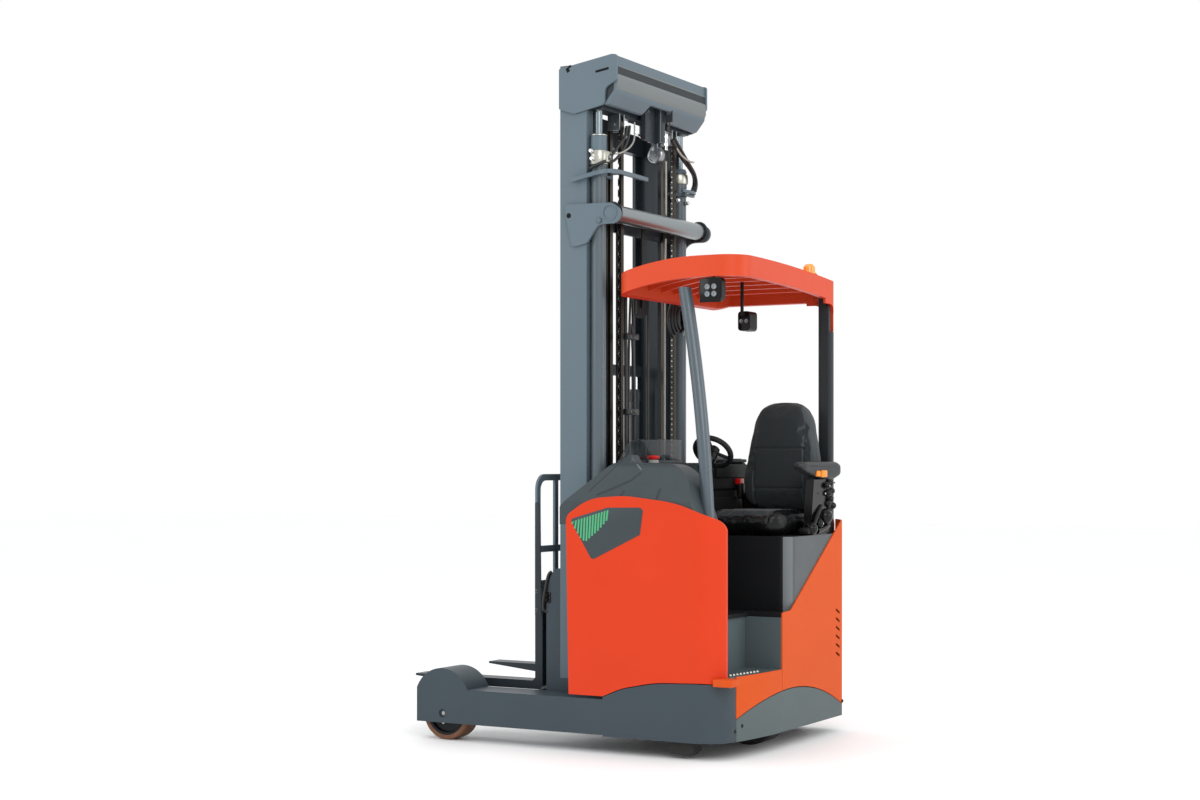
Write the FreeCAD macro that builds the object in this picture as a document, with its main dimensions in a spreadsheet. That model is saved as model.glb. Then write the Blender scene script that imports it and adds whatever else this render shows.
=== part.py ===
"""Sit-down reach truck: a parametric FreeCAD model, in millimetres.

+X points forward to the fork tips, +Y to the truck's left and +Z up.  The origin is on the floor,
under the middle of the truck's box.  Lengthwise places are stations: the distance ahead of the
rearmost point of the tail.  Every driving size is a cell of the sheet "Dims".
"""
import FreeCAD, Part
import Sketcher
import math
import os

doc = FreeCAD.newDocument("reach_truck")
sheet = doc.addObject("Spreadsheet::Sheet", "Dims")
V = FreeCAD.Vector

DRIVING = {
    # chassis
    "chassis_width": 1270, "fork_tip_station": 1815, "leg_tip_station": 1627,
    "leg_width": 180, "leg_floor_gap": 82, "leg_top": 240, "leg_outer_wall": 17,
    "load_axle_station": 1483, "load_wheel_radius": 125, "load_wheel_width": 100,
    "wheel_pocket_gap": 9, "load_tread": 22, "load_pin_radius": 20, "load_pin_seat": 8,
    "running_gap": 0.05,
    "cover_radius": 152, "cover_centre_height": 182,
    "rail_groove_depth": 32, "rail_groove_low": 105, "rail_groove_height": 100,
    "rail_groove_start": 600, "rail_groove_end": 1612,
    "tail_bow_radius": 2100, "tail_bow_start": 80, "tail_corner": 150, "tail_corner_right": 70,
    "tail_seam_left": 503, "tail_seam_right": 58, "skirt_low": 76, "panel_wall": 6, "skirt_wall": 14,
    "seam": 4, "skirt_front_station": 632, "skirt_crest": 332, "skirt_crest_station": 170,
    "panel_front_station": 820, "panel_low": 254, "panel_crest": 1140, "panel_tail_station": 62,
    # floor, battery and body
    "floor_top": 608, "floor_plate": 18, "bulkhead_station": 690, "bulkhead_wall": 12,
    "cab_wall_station": 560, "cab_wall": 14, "battery_low": 112, "battery_tray": 12,
    "battery_top": 560, "seat_gap": 0.3,
    "rear_panel_edge": 112, "rear_panel_top": 1028, "rear_panel_heel": 612,
    "step_top": 358, "step_depth": 120, "bumper_crest": 262,
    "hood_low": 1010, "hood_ridge": 1284, "hood_fin_rise": 49, "hood_shoulder": 1130,
    "hood_top_half": 430, "hood_slope": 90, "hood_nose": 36, "ridge_front_station": 700,
    "fin_foot_station": 624, "fin_peak_station": 588, "fin_inner": 395, "shoulder_inner": 420,
    "shoulder_tail_station": 172, "shoulder_run": 90, "carriage_notch": 6,
    # cab
    "seat_station": 276, "seat_width": 424, "seat_depth": 460, "seat_wall_room": 170,
    "cushion_low": 948, "cushion_height": 110, "seat_box_gap": 0.3, "back_height": 520,
    "back_thickness": 105, "back_lean": 6, "shield_corner": 60,
    "armrest_back": 540, "armrest_tip": 100, "armrest_top": 1290, "armrest_under": 1206,
    "console_top": 1190, "console_depth": 50, "pod_top": 1288,
    "steering_wheel_radius": 100, "steering_rim": 13, "steering_height": 1335,
    "steering_station": 432, "steering_side": -60, "steering_elevation": 42,
    # guard
    "guard_top": 2200, "guard_band": 95, "guard_left": 430, "guard_right": -625,
    "guard_front_station": 680, "guard_rear_station": 62, "guard_corner": 120,
    "guard_skin": 12, "guard_rim": 26, "guard_droop": 66, "guard_sag": 60,
    "slat_depth": 62, "ear_drop": 225, "ear_width": 30, "ear_wall": 12,
    "beacon_radius": 36, "beacon_station": 150, "beacon_side": 530, "beacon_sink": 18,
    "guard_rear_right": 42, "post_radius": 29,
    "post_foot_station": 176, "post_foot_side": 505, "post_knee_station": 240,
    "post_knee_side": 462, "post_knee_height": 1570, "post_top_station": 388,
    "post_top_side": 370, "rear_post_long": 70, "rear_post_wide": 50,
    "rear_post_station": 45, "rear_post_side": -597,
    # drive unit
    "drive_station": 197, "drive_wheel_radius": 160, "drive_wheel_width": 130,
    "drive_tread": 26, "turntable_radius": 108, "turntable_low": 400, "turntable_height": 26,
    "turntable_gap": 0.6, "motor_radius": 92, "motor_height": 150,
    # mast
    "mast_front_station": 962, "mast_depth": 139, "mast_leg_gap": 10, "rail_flange": 60,
    "rail_web": 14, "rail_lip": 16, "rail_gap": 10, "mast_foot": 300, "mast_top": 3100,
    "middle_foot": 112, "middle_top": 2990, "inner_foot": 106, "inner_top": 2870,
    "roller_radius": 53, "roller_width": 34, "fit_gap": 0.3,
    "carriage_plate_front": 1036, "carriage_plate_top": 800, "carriage_plate": 20,
    "carriage_low": 92, "carriage_rear_station": 706, "carriage_beam_top": 290,
    "top_plate_rear": 660, "top_plate_low": 2885, "top_plate_wall": 12,
    "tie_station": 696, "tie_height": 2414, "tie_radius": 40, "gusset_eye": 60, "gusset_drop": 147,
    "gusset_tail": 146, "gusset_toe": 66,
    "lift_station": 785, "lift_inset": 45, "lift_barrel_radius": 34, "lift_barrel_top": 2700,
    "lift_rod_radius": 17.5, "lift_barrel_low": 300,
    # fork carriage
    "hanger_inset": 65, "hanger_plate": 18, "hanger_low": 255, "hanger_height": 470,
    "hanger_front": 980, "cross_bar": 16, "cross_half": 370, "frame_half": 345, "slide_gap": 6,
    "shift_bar": 24, "tilt_gap": 44, "tilt_pin_back": 22, "tilt_pin_height": 665,
    "tilt_pin_radius": 11, "tilt_eye": 16, "tilt_side": 200, "tilt_eye_width": 26,
    "fem_bar": 30, "fem_low": 292, "fem_high": 640, "fem_height": 60,
    "fork_width": 100, "fork_thick": 40, "fork_side": 325, "fork_top": 270,
    "fork_shank_top": 720, "fork_tip_thick": 10,
    "rest_half": 440, "rest_top": 1232, "rest_low": 590, "rest_bar": 30, "rest_bar_thick": 12,
    "rest_inner": 265, "rest_middle": 885,
    # chains, hoses and free lift
    "chain_station": 772, "chain_side": 262, "chain_width": 26, "chain_thick": 12,
    "sheave_radius": 22, "sheave_height": 2842,
    "hose_radius": 7, "hose_station": 786, "hose_pulley_radius": 66, "hose_pulley_height": 2035,
    "hose_pulley_width": 20, "riser_side": 200, "mast_beam": 16,
    "free_station": 915, "free_side": 185, "free_radius": 25, "free_rod_radius": 15,
    "free_top": 1640, "free_head": 1700, "clamp_height": 2588, "clamp_thick": 12,
    "slot_pitch": 41, "slot_low": 372, "slot_count": 6,
}


class Size:
    """A size with its value and the sheet expression that it comes from."""

    def __init__(self, value, text):
        self.value = float(value)
        self.text = text

    def __add__(self, other):
        other = size(other)
        return Size(self.value + other.value, f"({self.text} + {other.text})")

    def __sub__(self, other):
        other = size(other)
        return Size(self.value - other.value, f"({self.text} - {other.text})")

    def __mul__(self, other):
        other = size(other)
        return Size(self.value * other.value, f"({self.text} * {other.text})")

    def __truediv__(self, other):
        other = size(other)
        return Size(self.value / other.value, f"({self.text} / {other.text})")

    def __radd__(self, other):
        return size(other) + self

    def __rsub__(self, other):
        return size(other) - self

    def __rmul__(self, other):
        return size(other) * self

    def __neg__(self):
        return Size(-self.value, f"(0 - {self.text})")

    def __float__(self):
        return self.value


def size(thing):
    """A Size as it is, and a plain number as a Size."""
    if isinstance(thing, Size):
        return thing
    return Size(thing, repr(float(thing)))


class Sheet:
    """Reads the sheet's cells as Sizes, by alias."""

    def __getattr__(self, alias):
        return Size(sheet.get(alias), f"Dims.{alias}")


def fill_sheet():
    for row, (alias, value) in enumerate(DRIVING.items(), start=1):
        sheet.set(f"A{row}", alias.replace("_", " "))
        sheet.set(f"B{row}", str(value))
        sheet.setAlias(f"B{row}", alias)
    doc.recompute()


fill_sheet()
D = Sheet()
HALF = D.chassis_width / 2
WIDE = HALF + 100
HIGH = D.guard_top
SUBPARTS = []


def st(station):
    """The x of a station: the origin is under the middle of the truck's length."""
    return station - D.fork_tip_station / 2


def bind(thing, prop, value):
    """Give a property its value, and the expression that keeps it there."""
    value = size(value)
    if prop.startswith("Placement"):
        thing.setExpression(prop, value.text)
        return
    setattr(thing, prop, value.value)
    thing.setExpression(prop, value.text)


def place(thing, x=0, y=0, z=0):
    thing.Placement.Base = V(float(x), float(y), float(z))
    bind(thing, "Placement.Base.x", x)
    bind(thing, "Placement.Base.y", y)
    bind(thing, "Placement.Base.z", z)
    return thing


def box(name, x, y, z):
    """A block between pairs of sizes."""
    block = doc.addObject("Part::Box", name)
    bind(block, "Length", x[1] - x[0])
    bind(block, "Width", y[1] - y[0])
    bind(block, "Height", z[1] - z[0])
    return place(block, x[0], y[0], z[0])


AXIS_TURN = {
    "x": FreeCAD.Rotation(V(0, 1, 0), 90),
    "y": FreeCAD.Rotation(V(1, 0, 0), -90),
    "z": FreeCAD.Rotation(),
}


def rod(name, axis, radius, start, length, x=0, y=0, z=0):
    """A cylinder from its start along an axis; the other two places are its centre."""
    bar = doc.addObject("Part::Cylinder", name)
    bind(bar, "Radius", radius)
    bind(bar, "Height", length)
    bar.Placement.Rotation = AXIS_TURN[axis]
    base = {"x": (start, y, z), "y": (x, start, z), "z": (x, y, start)}[axis]
    return place(bar, *base)


def cut(name, base, *tools):
    """The base less its tools."""
    tool = tools[0] if len(tools) == 1 else fuse(name + "_tools", *tools)
    result = doc.addObject("Part::Cut", name)
    result.Base = base
    result.Tool = tool
    return result


def fuse(name, *pieces):
    result = doc.addObject("Part::MultiFuse", name)
    result.Shapes = list(pieces)
    result.Refine = True
    return result


def common(name, *pieces):
    result = doc.addObject("Part::MultiCommon", name)
    result.Shapes = list(pieces)
    result.Refine = True
    return result


def shaped(name, shape):
    """A sub-part whose form is made in code from the sheet's values."""
    feature = doc.addObject("Part::Feature", name)
    feature.Shape = shape
    return feature


def subpart(label, thing):
    """Name a finished sub-part: the label is its file's name."""
    thing.Label = label
    SUBPARTS.append(thing)
    return thing


PLANES = {"xy": "XY_Plane", "xz": "XZ_Plane", "yz": "YZ_Plane"}


def twins(label, pieces):
    """One sub-part of like pieces that don't touch."""
    both = doc.addObject("Part::Compound", label + "_pair")
    both.Links = pieces
    subpart(label, both)


def polygon_sketch(body, name, plane, points):
    """A closed outline on an origin plane, every corner bound to the sheet."""
    sketch = body.newObject("Sketcher::SketchObject", name)
    origin = [f for f in body.Origin.OriginFeatures if f.Role == PLANES[plane]][0]
    sketch.AttachmentSupport = [(origin, "")]
    sketch.MapMode = "FlatFace"
    count = len(points)
    corners = [V(float(a), float(b), 0) for a, b in points]
    for i in range(count):
        sketch.addGeometry(Part.LineSegment(corners[i], corners[(i + 1) % count]), False)
    for i in range(count):
        sketch.addConstraint(Sketcher.Constraint("Coincident", i, 2, (i + 1) % count, 1))
    for i, pair in enumerate(points):
        for kind, value in zip(("DistanceX", "DistanceY"), pair):
            value = size(value)
            mark = sketch.addConstraint(Sketcher.Constraint(kind, -1, 1, i, 1, value.value))
            sketch.setExpression(f"Constraints[{mark}]", value.text)
    return sketch


def padded(name, plane, points, start, length):
    """A body padded from an outline: along +Z from xy, -Y from xz, +X from yz."""
    body = doc.addObject("PartDesign::Body", name)
    sketch = polygon_sketch(body, name + "_sketch", plane, points)
    pad = body.newObject("PartDesign::Pad", name + "_pad")
    pad.Profile = sketch
    bind(pad, "Length", length)
    body.Tip = pad
    base = {"xy": (0, 0, start), "xz": (0, start, 0), "yz": (start, 0, 0)}[plane]
    return place(body, *base)


def turned(name, points, x, y, z, axis="y"):
    """A body turned from (radius, along-axis) points, its axis along Y or Z."""
    body = doc.addObject("PartDesign::Body", name)
    sketch = polygon_sketch(body, name + "_sketch", "xy", points)
    spin = body.newObject("PartDesign::Revolution", name + "_spin")
    spin.Profile = sketch
    spin.ReferenceAxis = (sketch, ["V_Axis"])
    spin.Angle = 360
    body.Tip = spin
    if axis == "z":
        body.Placement.Rotation = FreeCAD.Rotation(V(1, 0, 0), 90)
    return place(body, x, y, z)


def outline_wire(points, plane, offset=0.0):
    """A closed wire of straight sides; a corner (a, b, r) is rounded by r."""
    count = len(points)
    flat = [V(float(p[0]), float(p[1]), 0) for p in points]
    radii = [float(p[2]) if len(p) > 2 else 0.0 for p in points]
    starts, ends, arcs = [], [], []
    for i in range(count):
        here, before, after = flat[i], flat[i - 1], flat[(i + 1) % count]
        if radii[i] <= 0:
            starts.append(here)
            ends.append(here)
            arcs.append(None)
            continue
        one = (before - here).normalize()
        two = (after - here).normalize()
        half_angle = one.getAngle(two) / 2
        back = radii[i] / math.tan(half_angle)
        middle = (one + two).normalize()
        centre = here + middle * (radii[i] / math.sin(half_angle))
        starts.append(here + one * back)
        ends.append(here + two * back)
        arcs.append(centre - middle * radii[i])
    edges = []

    def lift(v):
        if plane == "xy":
            return V(v.x, v.y, offset)
        if plane == "xz":
            return V(v.x, offset, v.y)
        return V(offset, v.x, v.y)

    for i in range(count):
        if arcs[i] is not None:
            edges.append(Part.Arc(lift(starts[i]), lift(arcs[i]), lift(ends[i])).toShape())
        nxt = (i + 1) % count
        if (starts[nxt] - ends[i]).Length > 1e-6:
            edges.append(Part.LineSegment(lift(ends[i]), lift(starts[nxt])).toShape())
    return Part.Wire(edges)


def plate(points, plane, low, high):
    """A solid from an outline, between two places along the plane's normal."""
    low, high = float(low), float(high)
    face = Part.Face(outline_wire(points, plane, low))
    way = {"xy": V(0, 0, high - low), "xz": V(0, high - low, 0), "yz": V(high - low, 0, 0)}
    return face.extrude(way[plane])


def block(x, y, z):
    """A plain box shape between pairs."""
    x, y, z = [[float(v) for v in pair] for pair in (x, y, z)]
    return Part.makeBox(x[1] - x[0], y[1] - y[0], z[1] - z[0], V(x[0], y[0], z[0]))


def mirrored(shape):
    """The same shape on the truck's other side."""
    return shape.mirror(V(0, 0, 0), V(0, 1, 0))


def tube_along(edges, radius):
    """A round bar along a path."""
    path = Part.Wire(edges)
    first = path.Edges[0]
    start = first.valueAt(first.FirstParameter)
    way = first.tangentAt(first.FirstParameter)
    ring = Part.Wire(Part.makeCircle(radius, start, way))
    return path.makePipeShell([ring], True, True)


# ---------------------------------------------------------------- chassis

LEG_IN = HALF - D.leg_width
POCKET_OUT = HALF - D.leg_outer_wall
POCKET_IN = POCKET_OUT - D.load_wheel_width - D.wheel_pocket_gap * 2


def tail_plan(inset):
    """The plan of the body: straight flanks, a tail bowed forward at its left, round corners."""
    half, tail = float(HALF) - inset, float(st(0)) + inset
    front = float(st(D.leg_tip_station))
    left, right = float(D.tail_corner) - inset, float(D.tail_corner_right) - inset
    bow, start = float(D.tail_bow_radius) - inset, float(D.tail_bow_start)
    lean = math.asin((half - left - start) / (bow - left))

    def on_bow(angle):
        return V(tail + bow * (1 - math.cos(angle)), start + bow * math.sin(angle), 0)

    end = on_bow(lean)
    centre = end + V(math.cos(lean), -math.sin(lean), 0) * left
    bend = (lean + math.pi / 2) / 2
    corner = centre + V(-math.cos(bend), math.sin(bend), 0) * left
    side = V(centre.x, half, 0)
    heel = V(tail + right, right - half, 0)
    turn = heel + V(-1, -1, 0) * (right * math.sqrt(0.5))
    return [
        Part.LineSegment(V(front, half, 0), side).toShape(),
        Part.Arc(side, corner, end).toShape(),
        Part.Arc(end, on_bow(lean / 2), V(tail, start, 0)).toShape(),
        Part.LineSegment(V(tail, start, 0), V(tail, heel.y, 0)).toShape(),
        Part.Arc(V(tail, heel.y, 0), turn, V(heel.x, -half, 0)).toShape(),
        Part.LineSegment(V(heel.x, -half, 0), V(front, -half, 0)).toShape(),
        Part.LineSegment(V(front, -half, 0), V(front, half, 0)).toShape(),
    ]


def tail_prism(inset, low, high):
    face = Part.Face(Part.Wire(tail_plan(inset)))
    solid = face.extrude(V(0, 0, float(high) - float(low)))
    solid.translate(V(0, 0, float(low)))
    return solid


def shell_ring(proud, wall, low, high):
    """The body's skin between two heights, standing proud of the plan by a little."""
    return tail_prism(-proud, low, high).cut(tail_prism(wall - proud, low, high))


def side_view(points, sign):
    """A cutter seen from the side, over one half of the truck."""
    return plate(points, "xz", 0, 800 * sign)


def flank_zone(sign, front, high):
    """One flank of the skin, from the seam at its tail corner to the front."""
    if sign > 0:
        return block((st(-20), front), (D.tail_seam_left + D.seam / 2, WIDE), (0, high))
    return block((st(D.tail_seam_right) + D.seam / 2, front), (-WIDE, D.skirt_wall * 3 - HALF), (0, high))


def skirt_outline():
    """Side view of the grey skirt that rises from the leg towards the tail."""
    crest, front = D.skirt_crest, D.skirt_front_station
    low = D.skirt_low
    return [(st(front), low), (st(front), D.leg_top + 10), (st(front - 95), crest - 42, 300),
            (st(front - 260), crest - 8, 700), (st(D.skirt_crest_station), crest, 500),
            (st(40), crest - 6, 300), (st(-20), crest - 40), (st(-20), low)]


def leg_shape():
    """A left leg: box arm with a rounded wheel cover, a wheel pocket and a rail groove."""
    front, back = st(D.leg_tip_station), st(D.skirt_front_station) - 60
    arm = block((back, front), (LEG_IN, HALF), (D.leg_floor_gap, D.leg_top))
    axle = st(D.load_axle_station)
    y0, width = float(LEG_IN), float(D.leg_width)
    dome = Part.makeCylinder(float(D.cover_radius), width,
                             V(float(axle) + 3, y0, float(D.cover_centre_height)), V(0, 1, 0))
    dome = dome.common(block((axle - 200, front), (LEG_IN, HALF), (D.cover_centre_height, 400)))
    leg = arm.fuse(dome)
    pocket_r = D.load_wheel_radius + D.wheel_pocket_gap
    pocket = Part.makeCylinder(float(pocket_r), float(POCKET_OUT - POCKET_IN),
                               V(float(axle), float(POCKET_IN), float(D.load_wheel_radius)),
                               V(0, 1, 0))
    mouth = block((axle - pocket_r, axle + pocket_r), (POCKET_IN, POCKET_OUT),
                  (D.leg_floor_gap - 10, D.load_wheel_radius))
    groove = block((st(D.rail_groove_start), st(D.rail_groove_end)),
                   (LEG_IN - 10, LEG_IN + D.rail_groove_depth),
                   (D.rail_groove_low, D.rail_groove_low + D.rail_groove_height))
    pin = Part.makeCylinder(float(D.load_pin_radius), width + 2,
                            V(float(axle), y0 - 1, float(D.load_wheel_radius)), V(0, 1, 0))
    return leg.cut(pocket.fuse(mouth)).cut(groove).cut(pin)


def skirt_shape(sign):
    """The grey skirt that carries on from a leg, round to the tail's seam."""
    skirt = shell_ring(0.0, float(D.skirt_wall), D.skirt_low, D.skirt_crest)
    return skirt.common(side_view(skirt_outline(), sign)).common(
        flank_zone(sign, st(D.skirt_front_station), 500))


def legs():
    left = leg_shape()
    for side, sign in (("left", 1), ("right", -1)):
        arm = left if sign > 0 else mirrored(left)
        whole = arm.fuse(skirt_shape(sign)).removeSplitter()
        subpart(f"leg_{side}", shaped(f"leg_{side}_shape", whole))


def load_axles():
    """The pins through both walls of each wheel pocket."""
    inner, outer = POCKET_IN - D.load_pin_seat, POCKET_OUT + D.load_pin_seat
    pins = []
    for side, start in (("left", inner), ("right", -outer)):
        pins.append(rod(f"load_axle_{side}", "y", D.load_pin_radius - D.running_gap, start,
                        outer - inner, x=st(D.load_axle_station), z=D.load_wheel_radius))
    twins("load_axles", pins)


def load_wheels():
    """Each load wheel: a cast hub with bearing bosses in a polyurethane tyre."""
    radius, half = D.load_wheel_radius, D.load_wheel_width / 2
    bore = D.load_pin_radius + D.running_gap
    rim = radius - D.load_tread
    middle = (POCKET_IN + POCKET_OUT) / 2
    hub_outline = [(bore, -half + 3), (bore + 16, -half + 3), (bore + 20, -half + 16),
                   (rim - 16, -half + 16), (rim - 12, -half + 4), (rim, -half + 4),
                   (rim, half - 4), (rim - 12, half - 4), (rim - 16, half - 16),
                   (bore + 20, half - 16), (bore + 16, half - 3), (bore, half - 3)]
    tyre_outline = [(rim, -half + 2), (radius - 5, -half), (radius, -half + 6),
                    (radius, half - 6), (radius - 5, half), (rim, half - 2)]
    for side, sign in (("left", 1), ("right", -1)):
        at = (st(D.load_axle_station), middle * sign, radius)
        subpart(f"load_hub_{side}", turned(f"load_hub_{side}_body", hub_outline, *at))
        subpart(f"load_tyre_{side}", turned(f"load_tyre_{side}_body", tyre_outline, *at))


def chassis_frame():
    """Welded plates between the legs: battery tray, bulkheads and the drive bay's frame."""
    inner = LEG_IN
    tray_front = st(D.bulkhead_station)
    wall = D.bulkhead_wall
    tray_back = st(D.drive_station + 180)
    low = D.battery_low - D.battery_tray
    floor = D.floor_top - D.floor_plate
    tray = box("battery_tray_plate", (tray_back, tray_front), (-inner, inner),
               (low, D.battery_low))
    front = box("front_bulkhead", (tray_front - wall, tray_front), (-inner, inner),
                (low, D.hood_low))
    middle = box("drive_bulkhead", (tray_back, tray_back + wall), (-inner, inner), (low, floor))
    rails = []
    for side, sign in (("left", 1), ("right", -1)):
        outer = HALF - D.skirt_wall
        near = inner - 19
        pair = (near, outer) if sign > 0 else (-outer, -near)
        rails.append(box(f"drive_bay_beam_{side}", (st(200), st(D.skirt_front_station) - 60),
                         pair, (D.leg_floor_gap + 10, D.leg_top - 10)))
    inset = float(D.skirt_wall + D.fit_gap)
    low, high = D.leg_floor_gap + 18, D.leg_top - 10
    ring = tail_prism(inset, low, high).cut(tail_prism(inset + 4, low - 1, high + 1))
    ring = shaped("tail_rib", ring.common(block((st(0), st(262)), (-WIDE, WIDE), (low, high))))
    subpart("chassis_frame", fuse("chassis_frame_weld", tray, front, middle, ring, *rails))


def drive_bay_top():
    """The plate over the drive wheel, with the turntable's bore in it, open at the step."""
    low = D.turntable_low + D.turntable_height + D.turntable_gap
    front = st(D.drive_station + 180)
    top = block((st(20), front), (-LEG_IN, D.rear_panel_edge), (low, low + 16))
    top = top.fuse(block((st(62) + D.step_depth + 10, front), (0, LEG_IN), (low, low + 16)))
    top = top.common(tail_prism(float(D.panel_wall + D.seat_gap), 0, HIGH))
    top = shaped("drive_deck_plate", top)
    bore = rod("drive_deck_bore", "z", D.motor_radius + 8, low - 10, size(40),
               x=st(D.drive_station))
    posts = []
    for side, sign in (("left", 1), ("right", -1)):
        pair = (LEG_IN - 14, LEG_IN)
        if sign < 0:
            pair = (-LEG_IN, -(LEG_IN - 14))
        posts.append(box(f"drive_deck_cheek_{side}", (st(200), st(D.drive_station + 180)),
                         pair, (D.leg_top - 10, low)))
    subpart("drive_deck", fuse("drive_deck_weld", cut("drive_deck_cut", top, bore), *posts))


def battery():
    """The lithium battery, one plain block in its tray."""
    subpart("battery_pack", box("battery_block",
            (st(D.drive_station + 180) + D.bulkhead_wall + 12, st(D.bulkhead_station) - 24),
            (-(LEG_IN - 20), LEG_IN - 20), (D.battery_low, D.battery_top)))


def flank_outline():
    """Side view of a red flank panel: arched top, arched bottom over the skirt."""
    crest, seam = D.panel_crest, D.seam
    skirt = D.skirt_crest
    front = D.panel_front_station
    tail = D.panel_tail_station
    return [(st(front - 14), D.panel_low), (st(front), D.panel_crest - 90, 50),
            (st(front - 120), crest - 12, 260), (st(front - 300), crest, 500),
            (st(tail + 200), crest - 30, 600), (st(tail), crest - 110, 60),
            (st(tail), skirt - 6 + seam, 20), (st(150), skirt + seam, 500),
            (st(372), skirt + seam - 8, 700), (st(537), skirt + seam - 42, 300),
            (st(D.skirt_front_station), D.panel_low)]


def flank_panels():
    """The red panels along both sides, wrapped round the tail's corners."""
    skin = shell_ring(0.0, float(D.panel_wall), D.panel_low, D.panel_crest)
    for side, sign in (("left", 1), ("right", -1)):
        flank = skin.common(side_view(flank_outline(), sign))
        flank = flank.common(flank_zone(sign, st(D.panel_front_station), 1400))
        subpart(f"flank_panel_{side}", shaped(f"flank_{side}_shape", flank))


def tail_zone(low, high, left):
    """The middle of the tail between the seams at its corners."""
    seam = D.seam / 2
    return block((st(-50), st(D.tail_seam_right) - seam), (-WIDE, left), (low, high))


def bumper_cutter(gap=0.0):
    """Everything under the bumper's long arc, which ends lower at the right corner."""
    left, crest, right = V(0, 520, 164 + gap), V(0, -20, float(D.bumper_crest) + gap), V(0, -640, 96 + gap)
    low = float(D.skirt_low)
    foot_left, foot_right = V(0, left.y, low), V(0, right.y, low)
    wire = Part.Wire([Part.Arc(left, crest, right).toShape(),
                      Part.LineSegment(right, foot_right).toShape(),
                      Part.LineSegment(foot_right, foot_left).toShape(),
                      Part.LineSegment(foot_left, left).toShape()])
    solid = Part.Face(wire).extrude(V(400, 0, 0))
    solid.translate(V(float(st(0)) - 50, 0, 0))
    return solid


def tail_covers():
    """The bumper, the step's orange fascia and the slanting rear panel, split at their seams."""
    seam = D.seam / 2
    left = D.tail_seam_left - seam
    bumper = shell_ring(0.0, float(D.skirt_wall), D.skirt_low, D.skirt_crest)
    bumper = bumper.common(bumper_cutter()).common(tail_zone(0, 400, left))
    subpart("tail_bumper", shaped("tail_bumper_shape", bumper))
    skin = shell_ring(0.0, float(D.panel_wall), D.skirt_low, D.rear_panel_top)
    above = skin.cut(bumper_cutter(float(D.seam)))
    edge = D.rear_panel_edge
    fascia = above.common(block((st(-50), st(D.tail_corner)), (edge + D.seam, left), (0, D.step_top)))
    subpart("step_fascia", shaped("step_fascia_shape", fascia))
    slant = plate([(edge, 0), (edge, D.rear_panel_heel, 12), (20, D.rear_panel_heel + 4, 12),
                   (70 - HALF, D.rear_panel_top - 24, 60), (-WIDE, D.rear_panel_top), (-WIDE, 0)],
                  "yz", st(-50), st(140))
    rear = above.common(slant).common(tail_zone(0, HIGH, left))
    for row in range(int(float(D.slot_count))):
        z = float(D.slot_low + D.slot_pitch * row)
        slot = Part.makeBox(80, 52, 11, V(float(st(0)) - 20, -26, -5.5))
        slot.rotate(V(0, 0, 0), V(1, 0, 0), 24)
        slot.translate(V(0, 108 - float(HALF), z))
        rear = rear.cut(slot)
    subpart("rear_panel", shaped("rear_panel_shape", rear))


def step_and_floor():
    """The entry step's tread and riser, and the cab's floor."""
    inside = tail_prism(float(D.panel_wall + D.seat_gap), 0, HIGH)
    riser_x = st(62) + D.step_depth
    edge, left = D.rear_panel_edge, D.tail_seam_left + 36
    low, high = D.step_top - 14, D.floor_top - D.floor_plate
    tread = block((st(0), riser_x), (edge, left), (low, D.step_top))
    riser = block((riser_x, riser_x + 10), (edge, left), (low, high))
    cheek = block((st(0), riser_x + 10), (edge, edge + 6), (low, high))
    well = tread.fuse(riser).fuse(cheek).common(inside).removeSplitter()
    subpart("entry_step", shaped("entry_step_shape", well))
    front = st(D.cab_wall_station)
    low = D.floor_top - D.floor_plate
    main = block((riser_x - 12, front), (-WIDE, WIDE), (low, D.floor_top))
    aft = block((st(0), riser_x - 12), (-WIDE, edge), (low, D.floor_top))
    wall = block((front, front + D.cab_wall), (-WIDE, WIDE), (low, D.hood_low))
    trim = block((st(D.shoulder_tail_station), front), (HALF - 50, WIDE), (low, D.hood_low))
    floor = main.fuse(aft).fuse(wall).fuse(trim).common(inside).removeSplitter()
    subpart("cab_floor", shaped("cab_floor_shape", floor))


HOOD_FIN = D.hood_ridge + D.hood_fin_rise


def guard_post_path():
    """The bowed tube at the cab's left leans forward as it rises."""
    base = V(float(st(D.post_foot_station)), float(D.post_foot_side), float(D.hood_low) + 2)
    middle = V(float(st(D.post_knee_station)), float(D.post_knee_side), float(D.post_knee_height))
    top = V(float(st(D.post_top_station)), float(D.post_top_side), float(D.guard_top) + 5)
    return Part.Arc(base, middle, top).toShape()


def hood_section(half):
    """Rear view of the hood: steep shoulders over the flanks and a level top."""
    low, ridge, fin = D.hood_low, D.hood_ridge, HOOD_FIN
    slope = D.hood_slope
    return plate([(-half, low), (-half, D.hood_shoulder - 10, 40), (-half + slope, ridge - 20, 60),
                  (-D.hood_top_half, fin + 6, 80), (D.hood_top_half, fin + 6, 80),
                  (half - slope, ridge - 20, 60), (half, D.hood_shoulder - 10, 40), (half, low)],
                 "yz", st(0), st(900))


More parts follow.
